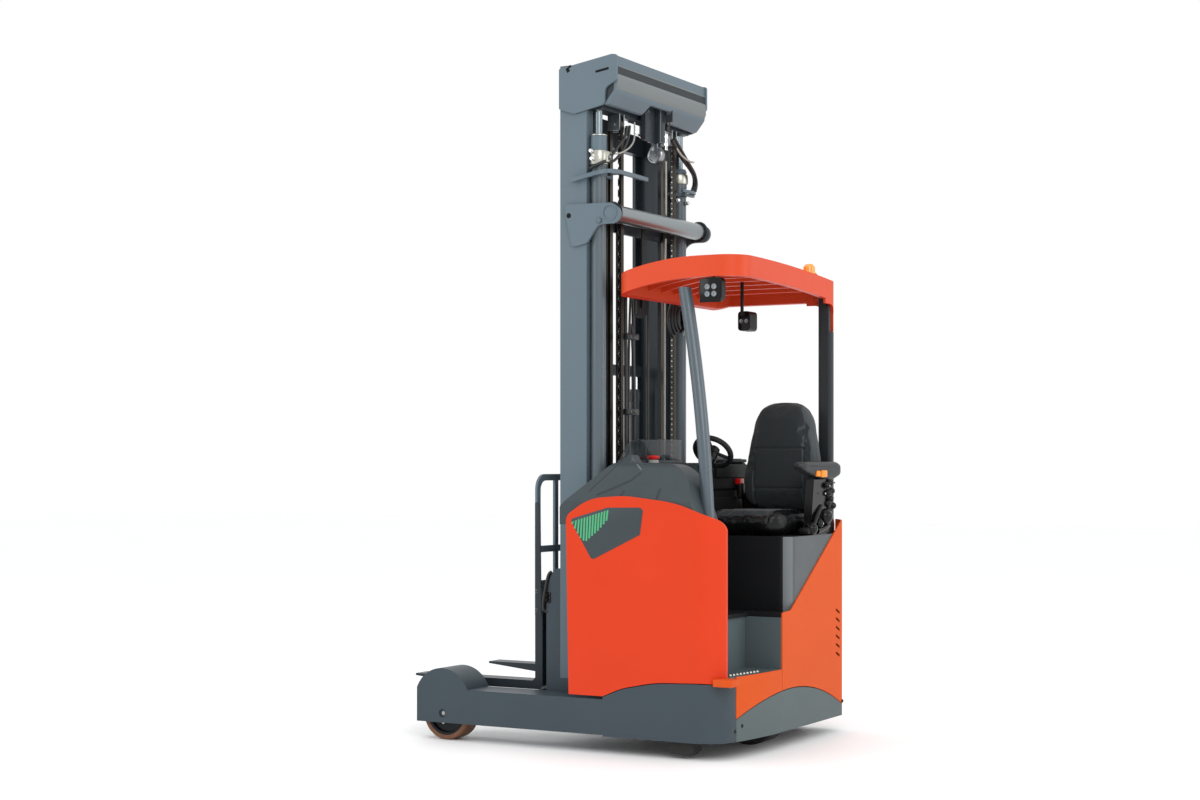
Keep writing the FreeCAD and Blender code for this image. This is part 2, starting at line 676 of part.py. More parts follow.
def hood():
    """The grey moulded hood over the battery, with its fin, and the shoulder along the flank."""
    front, wall = st(D.panel_front_station), st(D.cab_wall_station)
    low, ridge, fin = D.hood_low, D.hood_ridge, HOOD_FIN
    nose = front + D.hood_nose
    top = plate([(nose, low), (nose, D.hood_shoulder - 40, 20), (st(D.ridge_front_station), ridge, 30),
                 (st(D.fin_foot_station), ridge, 20), (st(D.fin_peak_station), fin, 14),
                 (wall + 4, ridge, 8), (wall, ridge), (wall, low)], "xz", -WIDE, WIDE)
    level = block((st(0), nose + 1), (-D.fin_inner, D.fin_inner), (ridge, HIGH))
    slope = plate([(nose + 1, D.hood_shoulder - 40), (st(D.fin_peak_station), fin), (nose + 1, fin)],
                  "xz", -WIDE, WIDE)
    outer = slope.cut(block((st(0), nose + 2), (-D.fin_inner, D.fin_inner), (0, HIGH)))
    top = top.cut(level).cut(outer)
    across = hood_section(HALF - D.panel_wall - D.seat_gap)
    beside = LEG_IN + D.carriage_notch
    notch = block((st(D.carriage_rear_station - 10), nose + 100), (-beside, beside),
                  (D.hood_low - 100, HIGH))
    subpart("battery_hood", shaped("battery_hood_shape", top.common(across).cut(notch)))
    tail, end = st(D.shoulder_tail_station), wall - D.seat_gap
    side = plate([(tail, low), (tail, low + 30, 10), (tail + D.shoulder_run, ridge - 6, 160),
                  (end, ridge, 1), (end, low)], "xz", -WIDE, WIDE)
    arm = side.common(across).common(block((st(0), end), (D.shoulder_inner, WIDE), (0, HIGH)))
    arm = arm.common(tail_prism(float(D.panel_wall + D.seat_gap), 0, HIGH))
    arm = arm.cut(tube_along([guard_post_path()], float(D.post_radius + D.seat_gap)))
    arm = max(arm.Solids, key=lambda piece: piece.Volume)
    subpart("cab_shoulder", shaped("cab_shoulder_shape", arm))


# ---------------------------------------------------------------- cab

def seat():
    """The seat box, and the seat facing left: plain cushions."""
    centre = st(D.seat_station)
    half = D.seat_width / 2
    depth = D.seat_depth
    front = D.seat_wall_room + depth - HALF
    low = D.cushion_low
    box_back = HALF - 30
    top, inner = low - D.seat_box_gap, centre + half + 6
    base = plate([(st(0), D.floor_top), (st(0), top), (inner, top, 10), (inner, D.floor_top)],
                 "xz", -box_back, front + 10)
    base = base.common(tail_prism(float(D.panel_wall + D.seat_gap), 0, HIGH))
    tail = base.BoundBox.XMin
    wrap = plate([(tail - 1, -WIDE), (tail - 1, front + 10, D.shield_corner), (inner, front + 10),
                  (inner, -WIDE)], "xy", 0, HIGH)
    subpart("seat_box", shaped("seat_box_shape", base.common(wrap)))
    cushion = plate([(centre - half, front, 60), (centre - half, front - depth, 40),
                     (centre + half, front - depth, 40), (centre + half, front, 60)],
                    "xy", low, low + D.cushion_height)
    subpart("seat_cushion", shaped("seat_cushion_shape", cushion))
    back = plate([(centre - half, 0, 30), (centre - half + 10, D.back_height * 0.55, 90),
                  (centre - half + 50, D.back_height, 70), (centre + half - 50, D.back_height, 70),
                  (centre + half - 10, D.back_height * 0.55, 90), (centre + half, 0, 30)],
                 "xz", -D.back_thickness, 0)
    back.rotate(V(0, 0, 0), V(1, 0, 0), float(D.back_lean))
    drop = float(D.back_thickness) * math.sin(math.radians(float(D.back_lean)))
    back.translate(V(0, float(front - depth + D.back_thickness + 1),
                     float(low + D.cushion_height + D.seat_box_gap) + drop))
    subpart("seat_back", shaped("seat_back_shape", back))


def armrest():
    """The boat-shaped armrest at the driver's left elbow, and its stand with levers."""
    near, far = st(6), st(56)
    back, tip = -D.armrest_back, -D.armrest_tip
    top, under = D.armrest_top, D.armrest_under
    rest = plate([(back, top - 54, 12), (back, top - 22, 12), (back + 60, top, 60),
                  (tip - 30, top, 12), (tip, top - 28, 10), (tip - 150, under, 60),
                  (back + 100, under, 60)], "yz", near, far)
    subpart("armrest", shaped("armrest_shape", rest))
    low = D.cushion_low - D.seat_box_gap
    stand = plate([(back + 120, low), (back + 130, under), (tip - 170, under), (tip - 130, low)],
                  "yz", near + 6, far - 4)
    subpart("armrest_stand", shaped("armrest_stand_shape", stand))


def cab_console():
    """The black console beside the seat, under the steering wheel, with its raised pod."""
    front = st(D.cab_wall_station) - D.seat_gap
    back = front - D.console_depth
    low = D.floor_top
    right, left = -(HALF - 30), D.shoulder_inner - 10
    body = plate([(back, low), (back, D.console_top - 10, 20), (back + 20, D.console_top, 8),
                  (front, D.console_top), (front, low)], "xz", right, left)
    pod = plate([(back - 10, D.console_top - 40, 16), (back - 10, D.pod_top - 40, 20),
                 (back + 20, D.pod_top, 14), (front, D.pod_top - 6),
                 (front, D.console_top - 40)], "xz", right, -200)
    return body.fuse(pod)


def steering():
    """The small steering wheel on its tilted column."""
    elevation = math.radians(float(D.steering_elevation))
    axis = V(0, -math.cos(elevation), math.sin(elevation))
    hub = V(float(st(D.steering_station)), float(D.steering_side), float(D.steering_height))
    radius, rim = float(D.steering_wheel_radius), float(D.steering_rim)
    ring = Part.makeTorus(radius - rim, rim, hub, axis)
    boss = Part.makeCylinder(26, 30, hub - axis * 15, axis)
    wheel = ring.fuse(boss)
    side = V(1, 0, 0)
    up = axis.cross(side)
    for turn in (90, 210, 330):
        way = side * math.cos(math.radians(turn)) + up * math.sin(math.radians(turn))
        spoke = Part.makeCylinder(8, radius - rim, hub, way)
        wheel = wheel.fuse(spoke)
    subpart("steering_wheel", shaped("steering_wheel_shape", wheel.removeSplitter()))
    foot = 15 + float(D.fit_gap)
    column = Part.makeCylinder(24, 170, hub - axis * (foot + 170), axis)
    arm = plate([(60, 1010, 20), (20, 1120, 20), (60, 1200, 20), (170, 1200, 30), (190, 1010, 20)],
                "yz", hub.x - 34, st(D.cab_wall_station) - D.seat_gap - 10)
    console = cab_console().fuse(column).fuse(arm)
    subpart("cab_console", shaped("cab_console_shape", console.removeSplitter()))


def emergency_stop():
    """The red mushroom button on the hood."""
    x, y, z = st(662), 100, D.hood_ridge
    stem = rod("stop_stem", "z", 13, z, size(26), x=x, y=y)
    head = rod("stop_head", "z", 20, z + 18, size(15), x=x, y=y)
    subpart("emergency_stop", fuse("emergency_stop_weld", stem, head))


# ---------------------------------------------------------------- overhead guard

BEACON_SEAT = D.guard_top - D.beacon_sink


def guard_side_view():
    """Side view of the room under the guard's top: level, then drooping towards the mast."""
    rear, front = float(st(D.guard_rear_right)), float(st(D.guard_front_station))
    top, droop = float(D.guard_top), float(D.guard_droop)
    turn = rear + (front - rear) * 0.35
    middle = (turn + front) / 2
    low = top - 2 * float(D.ear_drop)
    curve = Part.Arc(V(turn, 0, top), V(middle, 0, top - droop / 4), V(front, 0, top - droop))
    points = [V(front, 0, top - droop), V(front, 0, low), V(rear, 0, low), V(rear, 0, top),
              V(turn, 0, top)]
    sides = [Part.LineSegment(a, b).toShape() for a, b in zip(points, points[1:])]
    return Part.Wire([curve.toShape()] + sides)


def guard_rear_view():
    """Rear view of the same room: level at the left, sinking to the right in a long arc."""
    top, sag = float(D.guard_top), float(D.guard_sag)
    left, right = float(WIDE), -float(WIDE)
    start = float(D.guard_left) - 2 * float(D.guard_rim)
    middle = (start + right) / 2
    low = top - 2 * float(D.ear_drop)
    curve = Part.Arc(V(0, start, top), V(0, middle, top - sag / 4), V(0, right, top - sag))
    points = [V(0, right, top - sag), V(0, right, low), V(0, left, low), V(0, left, top),
              V(0, start, top)]
    sides = [Part.LineSegment(a, b).toShape() for a, b in zip(points, points[1:])]
    return Part.Wire([curve.toShape()] + sides)


def guard_plan(inset):
    """The guard's outline from above, drawn in by the inset."""
    rear, front = D.guard_rear_station + inset, D.guard_front_station - inset
    left, right = D.guard_left - inset, D.guard_right + inset
    corner = D.guard_corner - inset
    rear_right = D.guard_rear_right + inset
    return plate([(st(rear), left, corner), (st(rear_right), right, corner * 0.5),
                  (st(front), right, corner * 0.6), (st(front), left, corner * 0.6)],
                 "xy", D.guard_top - 300, D.guard_top + 200)


def guard_dome(inset, drop):
    """All the room under the guard's top, drawn in by the inset and lowered by the drop."""
    side = Part.Face(guard_side_view()).extrude(V(0, float(WIDE) * 2, 0))
    side.translate(V(0, -float(WIDE), 0))
    across = Part.Face(guard_rear_view()).extrude(V(float(st(900) - st(0)), 0, 0))
    across.translate(V(float(st(0)), 0, 0))
    dome = guard_plan(inset).common(side).common(across)
    dome.translate(V(0, 0, -float(drop)))
    return dome


def guard_prism(inset, drop):
    """The guard's solid envelope: the dome down to the rim's lower edge."""
    return guard_dome(inset, drop).cut(guard_dome(-2, D.guard_band))


def guard_ear():
    """The rim's corner that runs down outside the rear post."""
    top = D.guard_top - D.guard_sag
    joint, foot = top - D.guard_band, top - D.ear_drop
    edge = D.guard_right + D.ear_width
    face = plate([(-WIDE, foot), (edge, foot, 6), (edge, joint, 60), (edge + 110, joint),
                  (edge + 110, joint + 30), (-WIDE, joint + 30)], "yz", st(0), st(200))
    reach = st(D.guard_rear_right) + D.ear_width + 30
    flank = plate([(st(0), foot), (reach, foot, 6), (reach, joint, 60), (reach + 110, joint),
                   (reach + 110, joint + 30), (st(0), joint + 30)], "xz", -WIDE, WIDE)
    shell = guard_plan(0).cut(guard_plan(D.ear_wall))
    return shell.common(face).common(flank)


def guard():
    """The red overhead guard: a deep rim, a thin roof and lengthwise slats."""
    whole = guard_prism(0, 0)
    hollow = guard_prism(D.guard_rim, D.guard_skin)
    roof = whole.cut(hollow)
    ribs = []
    left, right = float(D.guard_left), float(D.guard_right)
    count = 7
    pitch = (left - right - 2 * float(D.guard_rim)) / (count + 1)
    band = guard_prism(D.guard_rim - 2, D.guard_skin - 2)
    for i in range(1, count + 1):
        y = right + float(D.guard_rim) + pitch * i
        strip = block((st(0), st(800)), (y - 9, y + 9), (D.guard_top - 200, D.guard_top))
        low = guard_dome(D.guard_rim - 2, D.slat_depth)
        ribs.append(band.common(strip).cut(low))
    for rib in ribs:
        roof = roof.fuse(rib)
    seat = Part.makeCylinder(float(D.beacon_radius) + 6, float(D.guard_sag + D.guard_skin),
                             V(float(st(D.beacon_station)), -float(D.beacon_side),
                               float(BEACON_SEAT - D.guard_sag - D.guard_skin)))
    roof = roof.fuse(seat.cut(hollow)).fuse(guard_ear())
    subpart("overhead_guard", shaped("overhead_guard_shape", roof.removeSplitter()))


def guard_posts():
    """The bowed tube at the cab's left and the dark post at the tail's right corner."""
    gap = float(D.seat_gap)
    inside = guard_prism(D.guard_rim + gap, D.guard_skin + gap)
    tube = tube_along([guard_post_path()], float(D.post_radius))
    below = tube.common(block((st(0), st(900)), (0, WIDE), (0, D.guard_top - D.guard_band - 40)))
    tube = below.fuse(tube.cut(below).common(inside)).removeSplitter()
    tube = max(tube.Solids, key=lambda piece: piece.Volume)
    subpart("guard_post_left", shaped("guard_post_left_shape", tube))
    x, y = st(D.rear_post_station), D.rear_post_side
    post = plate([(x, y, 18), (x, y + D.rear_post_wide, 18),
                  (x + D.rear_post_long, y + D.rear_post_wide, 18), (x + D.rear_post_long, y, 18)],
                 "xy", D.cushion_low - D.seat_box_gap, D.guard_top)
    foot = D.guard_top - D.guard_sag - D.ear_drop - 2
    joint = D.guard_top - D.guard_sag - D.guard_band - 10
    plain = post.common(block((st(0), st(900)), (-WIDE, 0), (0, foot)))
    beside = post.common(block((st(0), st(900)), (-WIDE, 0), (foot, joint)))
    beside = beside.common(guard_plan(D.ear_wall + gap))
    above = post.common(block((st(0), st(900)), (-WIDE, 0), (joint, HIGH)))
    above = above.common(guard_dome(D.guard_rim + gap, D.guard_skin + gap))
    post = plain.fuse(beside).fuse(above).removeSplitter()
    subpart("guard_post_rear", shaped("guard_post_rear_shape", post))


def lamps():
    """Two work lamps under the guard and the amber beacon on it."""
    low = float(D.guard_top - D.guard_band)
    lamp = plate([(st(150), low - 108, 20), (st(150), low - 4, 20), (st(262), low - 4, 46),
                  (st(262), low - 108, 46)], "xz", 388, 424)
    drum = Part.makeCylinder(44, 34, V(float(st(206)), 356, low - 56), V(0, 1, 0))
    lamp = lamp.fuse(drum)
    stalk = Part.makeCylinder(9, float(D.guard_band - D.guard_skin) + 6,
                              V(float(st(206)), 392, low - 6), V(0, 0, 1))
    second = plate([(st(300), low - 200, 16), (st(300), low - 108, 16), (st(362), low - 108, 16),
                    (st(362), low - 200, 16)], "xz", -262, -182)
    stem = Part.makeCylinder(8, float(D.guard_band - D.guard_skin - D.guard_sag * 0.2) + 112,
                             V(float(st(330)), -160, low - 112), V(0, 0, 1))
    arm = block((st(322), st(338)), (-184, -152), (low - 132, low - 112))
    roof = guard_prism(0, 0).cut(guard_prism(D.guard_rim, D.guard_skin + D.seat_gap))
    one = lamp.fuse(stalk).cut(roof)
    two = second.fuse(stem).fuse(arm).cut(roof)
    subpart("work_lamps", shaped("work_lamps_shape", Part.makeCompound([one, two])))
    r = D.beacon_radius
    dome = turned("beacon_body", [(0, 0), (r, 0), (r, 14), (r - 6, 18), (r - 8, 44), (r - 18, 56),
                                  (0, 60)],
                  st(D.beacon_station), -D.beacon_side, BEACON_SEAT + D.seat_gap, axis="z")
    subpart("beacon", dome)


# ---------------------------------------------------------------- drive unit

def drive_unit():
    """The steered drive wheel with its turntable, gear leg and motor."""
    x = st(D.drive_station)
    low, height = D.turntable_low, D.turntable_height
    half = D.drive_wheel_width / 2
    ring = rod("turntable_ring", "z", D.turntable_radius, low, height, x=x)
    leg = box("gear_leg", (x - 54, x + 54), (half + 8, half + 28),
              (D.drive_wheel_radius - 60, low + 1))
    stub = rod("drive_stub", "y", 30, half - 30, size(40), x=x, z=D.drive_wheel_radius)
    subpart("drive_turntable", fuse("drive_turntable_weld", ring, leg, stub))
    motor = rod("motor_can", "z", D.motor_radius, low + height, D.motor_height, x=x)
    subpart("drive_motor", motor)
    bore = size(30) + D.running_gap
    rim = D.drive_wheel_radius - D.drive_tread
    hub = [(bore, half - 34), (bore, half - 2), (rim, half - 6), (rim, -half + 6),
           (rim - 20, -half + 6), (rim - 26, half - 40), (bore - 12, half - 40),
           (bore - 12, half - 34)]
    tyre = [(rim, -half + 2), (D.drive_wheel_radius - 6, -half), (D.drive_wheel_radius, -half + 8),
            (D.drive_wheel_radius, half - 8), (D.drive_wheel_radius - 6, half), (rim, half - 2)]
    at = (x, 0, D.drive_wheel_radius)
    subpart("drive_hub", turned("drive_hub_body", hub, *at))
    subpart("drive_tyre", turned("drive_tyre_body", tyre, *at))


def support_feet():
    """The two stabiliser pads under the tail's corners."""
    pads = []
    top = D.leg_floor_gap + 10
    for sign in (1, -1):
        x = st(264)
        y = (HALF - 75) * sign
        pad = plate([(x - 62, top), (x - 62, 34, 4), (x - 46, 16, 4),
                     (x + 46, 16, 4), (x + 62, 34, 4), (x + 62, top)],
                    "xz", y - 40, y + 40)
        pads.append(pad)
    subpart("support_feet", shaped("support_feet_shape", Part.makeCompound(pads)))


# ---------------------------------------------------------------- mast

MAST_REAR = D.mast_front_station - D.mast_depth
MAST_HALF = LEG_IN - D.mast_leg_gap
LIFT_SIDE = MAST_HALF - D.lift_inset
RAIL_PITCH = D.rail_flange + D.rail_gap


def channel_outline(outer):
    """Plan of a left rail: a C open towards the mast's middle."""
    inner = outer - D.rail_flange
    front, rear = st(D.mast_front_station), st(MAST_REAR)
    web, lip = D.rail_web, D.rail_lip
    return [(rear, outer), (rear, inner), (rear + lip, inner), (rear + lip, outer - web),
            (front - lip, outer - web), (front - lip, inner), (front, inner), (front, outer)]


def rail(name, side, outer, low, high):
    """One rail of the mast, padded upward from its channel section."""
    points = channel_outline(outer)
    if side == "right":
        points = [(x, -y) for x, y in points]
    return padded(name, "xy", points, low, high - low)


def outer_rails():
    twins("outer_rails", [rail(f"outer_rail_{side}", side, MAST_HALF, D.mast_foot, D.mast_top)
                         for side in ("left", "right")])


def rollers(name, outer, height, sign, pin_end):
    """A guide roller on its stub, in the channel outside a rail."""
    centre_x = (st(D.mast_front_station) + st(MAST_REAR)) / 2
    start = outer - D.rail_web - D.fit_gap - D.roller_width
    pair = (start, start + D.roller_width)
    low = pair[0] if sign > 0 else -pair[1]
    wheel = rod(name, "y", D.roller_radius, low, D.roller_width, x=centre_x, z=height)
    stub_low = pin_end if sign > 0 else -(pair[0] + 4)
    stub = rod(name + "_stub", "y", 18, stub_low, pair[0] + 4 - pin_end, x=centre_x, z=height)
    return [wheel, stub]


def stage(name, outer, low, high, foot_roller, beams):
    """A moving mast stage: two rails, their lower rollers and the beams that tie them."""
    pieces = []
    for side, sign in (("left", 1), ("right", -1)):
        pieces.append(rail(f"{name}_rail_{side}", side, outer, low, high))
        pieces += rollers(f"{name}_roller_{side}", outer + RAIL_PITCH, foot_roller, sign,
                          outer - 1)
    subpart(name, fuse(name + "_weld", *pieces, *beams))


def moving_stages():
    """The middle and the inner stage of the triplex mast."""
    mid_outer = MAST_HALF - RAIL_PITCH
    in_outer = mid_outer - RAIL_PITCH
    rear = st(MAST_REAR)
    beams = [box("middle_head_beam", (st(D.lift_station) - D.lift_barrel_radius, rear),
                 (-(LIFT_SIDE + 30), LIFT_SIDE + 30),
                 (D.middle_top - 100, D.middle_top - 20)),
             box("middle_tie_beam", (rear - D.mast_beam, rear), (-mid_outer + 20, mid_outer - 20),
                 (D.tie_height - 60, D.tie_height + 40)),
             box("middle_foot_beam", (rear - D.mast_beam, rear), (-mid_outer + 20, mid_outer - 20),
                 (D.middle_foot + 60, D.middle_foot + 180))]
    stage("middle_mast", mid_outer, D.middle_foot, D.middle_top, D.mast_foot + 56, beams)
    front = st(D.mast_front_station)
    beams = [box("inner_head_beam", (rear + 90, front - 2), (-in_outer + 2, in_outer - 2),
                 (D.inner_top - 90, D.inner_top)),
             box("inner_foot_beam", (rear + 4, rear + 24), (-in_outer + 2, in_outer - 2),
                 (D.inner_foot, D.inner_foot + 120))]
    stage("inner_mast", in_outer, D.inner_foot, D.inner_top, D.middle_foot + 130, beams)


def reach_carriage():
    """The carriage that rolls in the legs: cheek plates, beam, rollers and front uprights."""
    front, rear = st(D.carriage_plate_front), st(D.carriage_rear_station)
    mast_front = st(D.mast_front_station)
    low, foot = D.carriage_low, D.mast_foot
    wall = D.carriage_plate
    outer = MAST_HALF
    pieces = []
    for sign in (1, -1):
        outline = [(rear, low, 20), (front, low, 30), (front, D.carriage_plate_top - 80, 60),
                   (mast_front + 30, D.carriage_plate_top, 30), (mast_front, D.carriage_plate_top),
                   (mast_front, foot), (rear, foot, 30)]
        pair = (outer - wall, outer) if sign > 0 else (-outer, -(outer - wall))
        cheek = plate(outline, "xz", pair[0], pair[1])
        groove_z = float(D.rail_groove_low + D.rail_groove_height / 2)
        for station in (D.carriage_rear_station + 54, D.carriage_plate_front - 54):
            reach = float(LEG_IN + D.rail_groove_depth - D.fit_gap)
            inner = float(outer - wall)
            start = inner - 12 if sign > 0 else -reach
            stub = Part.makeCylinder(18, reach - inner + 12, V(float(st(station)), start, groove_z),
                                     V(0, 1, 0))
            wheel_low = float(LEG_IN) + 3
            wheel_start = wheel_low if sign > 0 else -reach
            wheel = Part.makeCylinder(float(D.rail_groove_height / 2 - D.fit_gap), reach - wheel_low,
                                      V(float(st(station)), wheel_start, groove_z), V(0, 1, 0))
            cheek = cheek.fuse(stub).fuse(wheel)
        pieces.append(cheek)
    beam = block((rear, st(MAST_REAR) - 23), (-(outer - wall), outer - wall),
                 (low + 20, D.carriage_beam_top))
    weld = pieces[0].fuse(pieces[1]).fuse(beam).removeSplitter()
    subpart("reach_carriage", shaped("reach_carriage_shape", weld))


def mast_head():
    """Side plates and the two cross beams at the mast's head, set back behind the rails."""
    rear, front = st(D.top_plate_rear), st(D.mast_front_station)
    top, low = D.mast_top, D.top_plate_low
    wall = D.top_plate_wall
    outline = [(front, top - 14, 8), (rear + 26, top + 28, 10), (rear, top + 24, 10),
               (rear, top - 90, 20), (rear + 60, top - 120, 30), (rear + 64, low + 20, 20),
               (front - 80, low - 10, 40), (front, low + 16, 10)]
    pieces = []
    for sign in (1, -1):
        pair = (MAST_HALF, MAST_HALF + wall) if sign > 0 else (-(MAST_HALF + wall), -MAST_HALF)
        pieces.append(plate(outline, "xz", pair[0], pair[1]))
    flat = block((rear + 8, rear + 24), (-MAST_HALF, MAST_HALF), (top - 66, top + 22))
    bent = plate([(rear + 8, top - 62), (rear + 8, top - 140, 30), (rear + 54, top - 196, 20),
                  (rear + 68, top - 196), (rear + 66, top - 186, 16), (rear + 20, top - 134, 26),
                  (rear + 20, top - 62)], "xz", -MAST_HALF, MAST_HALF)
    notch = plate([(-170, low - 100), (-100, top - 150, 10), (100, top - 150, 10),
                   (170, low - 100)], "yz", rear - 10, rear + 200)
    weld = pieces[0].fuse(pieces[1]).fuse(flat).fuse(bent.cut(notch)).removeSplitter()
    subpart("mast_head", shaped("mast_head_shape", weld))


def mast_tie():
    """The round tie tube behind the mast between its two gussets."""
    x, z = st(D.tie_station), D.tie_height
    front = st(D.mast_front_station)
    eye = D.gusset_eye
    rise, drop = D.tie_radius * 1.25, D.gusset_drop
    outline = [(front - 25, z + rise, 14), (x - 10, z + rise - 6, 30), (x - eye, z + 10, 40),
               (x - eye + 10, z - rise, 40), (x + eye, z - rise, 60),
               (front - D.gusset_tail, z - drop + 14, 30), (front - D.gusset_toe, z - drop, 20)]
    wall = D.top_plate_wall
    weld = None
    for sign in (1, -1):
        pair = (MAST_HALF, MAST_HALF + wall) if sign > 0 else (-(MAST_HALF + wall), -MAST_HALF)
        gusset = plate(outline, "xz", pair[0], pair[1])
        weld = gusset if weld is None else weld.fuse(gusset)
    tube = Part.makeCylinder(float(D.tie_radius), float(MAST_HALF) * 2,
                             V(float(x), -float(MAST_HALF), float(z)), V(0, 1, 0))
    subpart("mast_tie", shaped("mast_tie_shape", weld.fuse(tube).removeSplitter()))


def lift_cylinders():
    """The lift cylinders behind the outer rails: barrels on the carriage, rods to the middle."""
    x = st(D.lift_station)
    barrels, rams = [], []
    for side, sign in (("left", 1), ("right", -1)):
        y = LIFT_SIDE * sign
        barrel = rod(f"lift_barrel_{side}_can", "z", D.lift_barrel_radius, D.lift_barrel_low,
                     D.lift_barrel_top - D.lift_barrel_low, x=x, y=y)
        gland = rod(f"lift_gland_{side}", "z", D.lift_barrel_radius + 3, D.lift_barrel_top - 70,
                    size(60), x=x, y=y)
        bore = rod(f"lift_bore_{side}", "z", D.lift_rod_radius + D.running_gap,
                   D.lift_barrel_low + 60, D.lift_barrel_top - D.lift_barrel_low, x=x, y=y)
        barrels.append(cut(f"lift_barrel_{side}", fuse(f"lift_barrel_{side}_weld", barrel, gland),
                           bore))
        rams.append(rod(f"lift_ram_{side}", "z", D.lift_rod_radius, D.lift_barrel_low + 70,
                        D.middle_top - 100 - D.lift_barrel_low - 70, x=x, y=y))
    twins("lift_barrels", barrels)
    twins("lift_rods", rams)


def barrel_clamps():
    """The bent plates that hold the barrels to the outer rails, and the mast's lower tie."""
    x, wall = st(D.lift_station), D.clamp_thick
    z = D.clamp_height
    pieces = []
    for sign in (1, -1):
        y = LIFT_SIDE * sign
        ring = Part.makeCylinder(float(D.lift_barrel_radius) + 3.6, float(wall),
                                 V(float(x), float(y), float(z)))
        inner, outer = LIFT_SIDE - 100, MAST_HALF
        pair = (inner, outer) if sign > 0 else (-outer, -inner)
        arm = block((x - 14, x + 14), pair, (z, z + wall))
        foot_pair = (outer - 12, outer) if sign > 0 else (-outer, -(outer - 12))
        foot = block((x - 14, st(MAST_REAR)), foot_pair, (z, z + wall))
        bore = Part.makeCylinder(float(D.lift_barrel_radius + D.running_gap), float(wall) + 2,
                                 V(float(x), float(y), float(z) - 1))
        pieces.append(ring.fuse(arm).fuse(foot).cut(bore).removeSplitter())
    subpart("barrel_clamps", shaped("barrel_clamps_shape", Part.makeCompound(pieces)))


# ---------------------------------------------------------------- chains, hoses and free lift

def chain_loop(sign):
    """A leaf chain over its sheave, as one strap: a half ring and two straight runs."""
    x, z = st(D.chain_station), D.sheave_height
    near = float(D.sheave_radius) + float(D.fit_gap)
    far = near + float(D.chain_thick)
    low = float(z - D.carriage_beam_top - D.fit_gap)
    width = float(D.chain_width)
    y = float(D.chain_side) * sign - width / 2
    centre = V(float(x), y, float(z))
    ring = Part.makeCylinder(far, width, centre, V(0, 1, 0)).cut(
        Part.makeCylinder(near, width, centre, V(0, 1, 0)))
    upper = Part.makeBox(far * 2, width, far, centre - V(far, 0, 0))
    strap = ring.common(upper)
    for start in (-far, near):
        strap = strap.fuse(Part.makeBox(far - near, width, low, centre + V(start, 0, -low)))
    return strap.removeSplitter()


def lift_chains():
    """Two leaf chains, one to a side, behind the inner rails."""
    loops = [chain_loop(sign) for sign in (1, -1)]
    subpart("lift_chains", shaped("lift_chains_shape", Part.makeCompound(loops)))


def chain_sheaves():
    """The chain sheaves on their pins, hung from the middle stage's head beam."""
    x, z = st(D.chain_station), D.sheave_height
    radius = float(D.sheave_radius)
    width = float(D.chain_width)
    pieces = []
    for sign in (1, -1):
        middle = float(D.chain_side) * sign
        wheel = Part.makeCylinder(radius, width, V(float(x), middle - width / 2, float(z)), V(0, 1, 0))
        pin = Part.makeCylinder(9, width + 36, V(float(x), middle - width / 2 - 18, float(z)), V(0, 1, 0))
        whole = wheel.fuse(pin)
        for away in (1, -1):
            y = middle + away * (width / 2 + 4)
            pair = (y, y + 8 * away) if away > 0 else (y + 8 * away, y)
            cheek = block((x - radius - 10, x + radius + 8), pair, (z - 28, D.middle_top - 100))
            whole = whole.fuse(cheek)
        pieces.append(whole.removeSplitter())
    subpart("chain_sheaves", shaped("chain_sheaves_shape", Part.makeCompound(pieces)))


def mast_hoses():
    """Three hydraulic hoses that run up behind the mast and over one pulley."""
    x, z, r = st(D.hose_station), D.hose_pulley_height, float(D.hose_radius)
    swing = float(D.hose_pulley_radius) + float(D.fit_gap) + r
    low = float(D.carriage_beam_top + D.fit_gap)
    span = [Part.LineSegment(V(float(x), -swing, low), V(float(x), -swing, float(z))).toShape(),
            Part.Arc(V(float(x), -swing, float(z)), V(float(x), 0, float(z) + swing),
                     V(float(x), swing, float(z))).toShape(),
            Part.LineSegment(V(float(x), swing, float(z)), V(float(x), swing, low)).toShape()]
    loop = tube_along(span, r)
    beside = float(st(MAST_REAR) - D.mast_beam - D.hose_radius - D.fit_gap)
    riser = Part.makeCylinder(r, float(D.tie_height) + 30 - low, V(beside, float(D.riser_side), low))
    subpart("mast_hoses", shaped("mast_hoses_shape", Part.makeCompound([loop, riser])))


def hose_pulley():
    """The grooved hose pulley in its hanger under the middle stage's tie beam."""
    x, z = st(D.hose_station), D.hose_pulley_height
    width, radius = float(D.hose_pulley_width), float(D.hose_pulley_radius)
    start = V(float(x) - width / 2, 0, float(z))
    wheel = Part.makeCylinder(radius, width, start, V(1, 0, 0))
    hose = float(D.hose_radius)
    wheel = wheel.cut(Part.makeTorus(radius + float(D.fit_gap) + hose, hose + float(D.fit_gap),
                                     V(float(x), 0, float(z)), V(1, 0, 0)))
    pin = Part.makeCylinder(8, width + 16, V(float(x) - width / 2 - 8, 0, float(z)), V(1, 0, 0))
    back = x - D.hose_pulley_width / 2 - 9
    strap = block((back, back + 6), (-16, 16), (z - 20, D.tie_height + 30))
    shelf = block((back, st(MAST_REAR) - D.mast_beam), (-16, 16), (D.tie_height + 10, D.tie_height + 30))
    weld = wheel.fuse(pin).fuse(strap).fuse(shelf).removeSplitter()
    subpart("hose_pulley", shaped("hose_pulley_shape", weld))


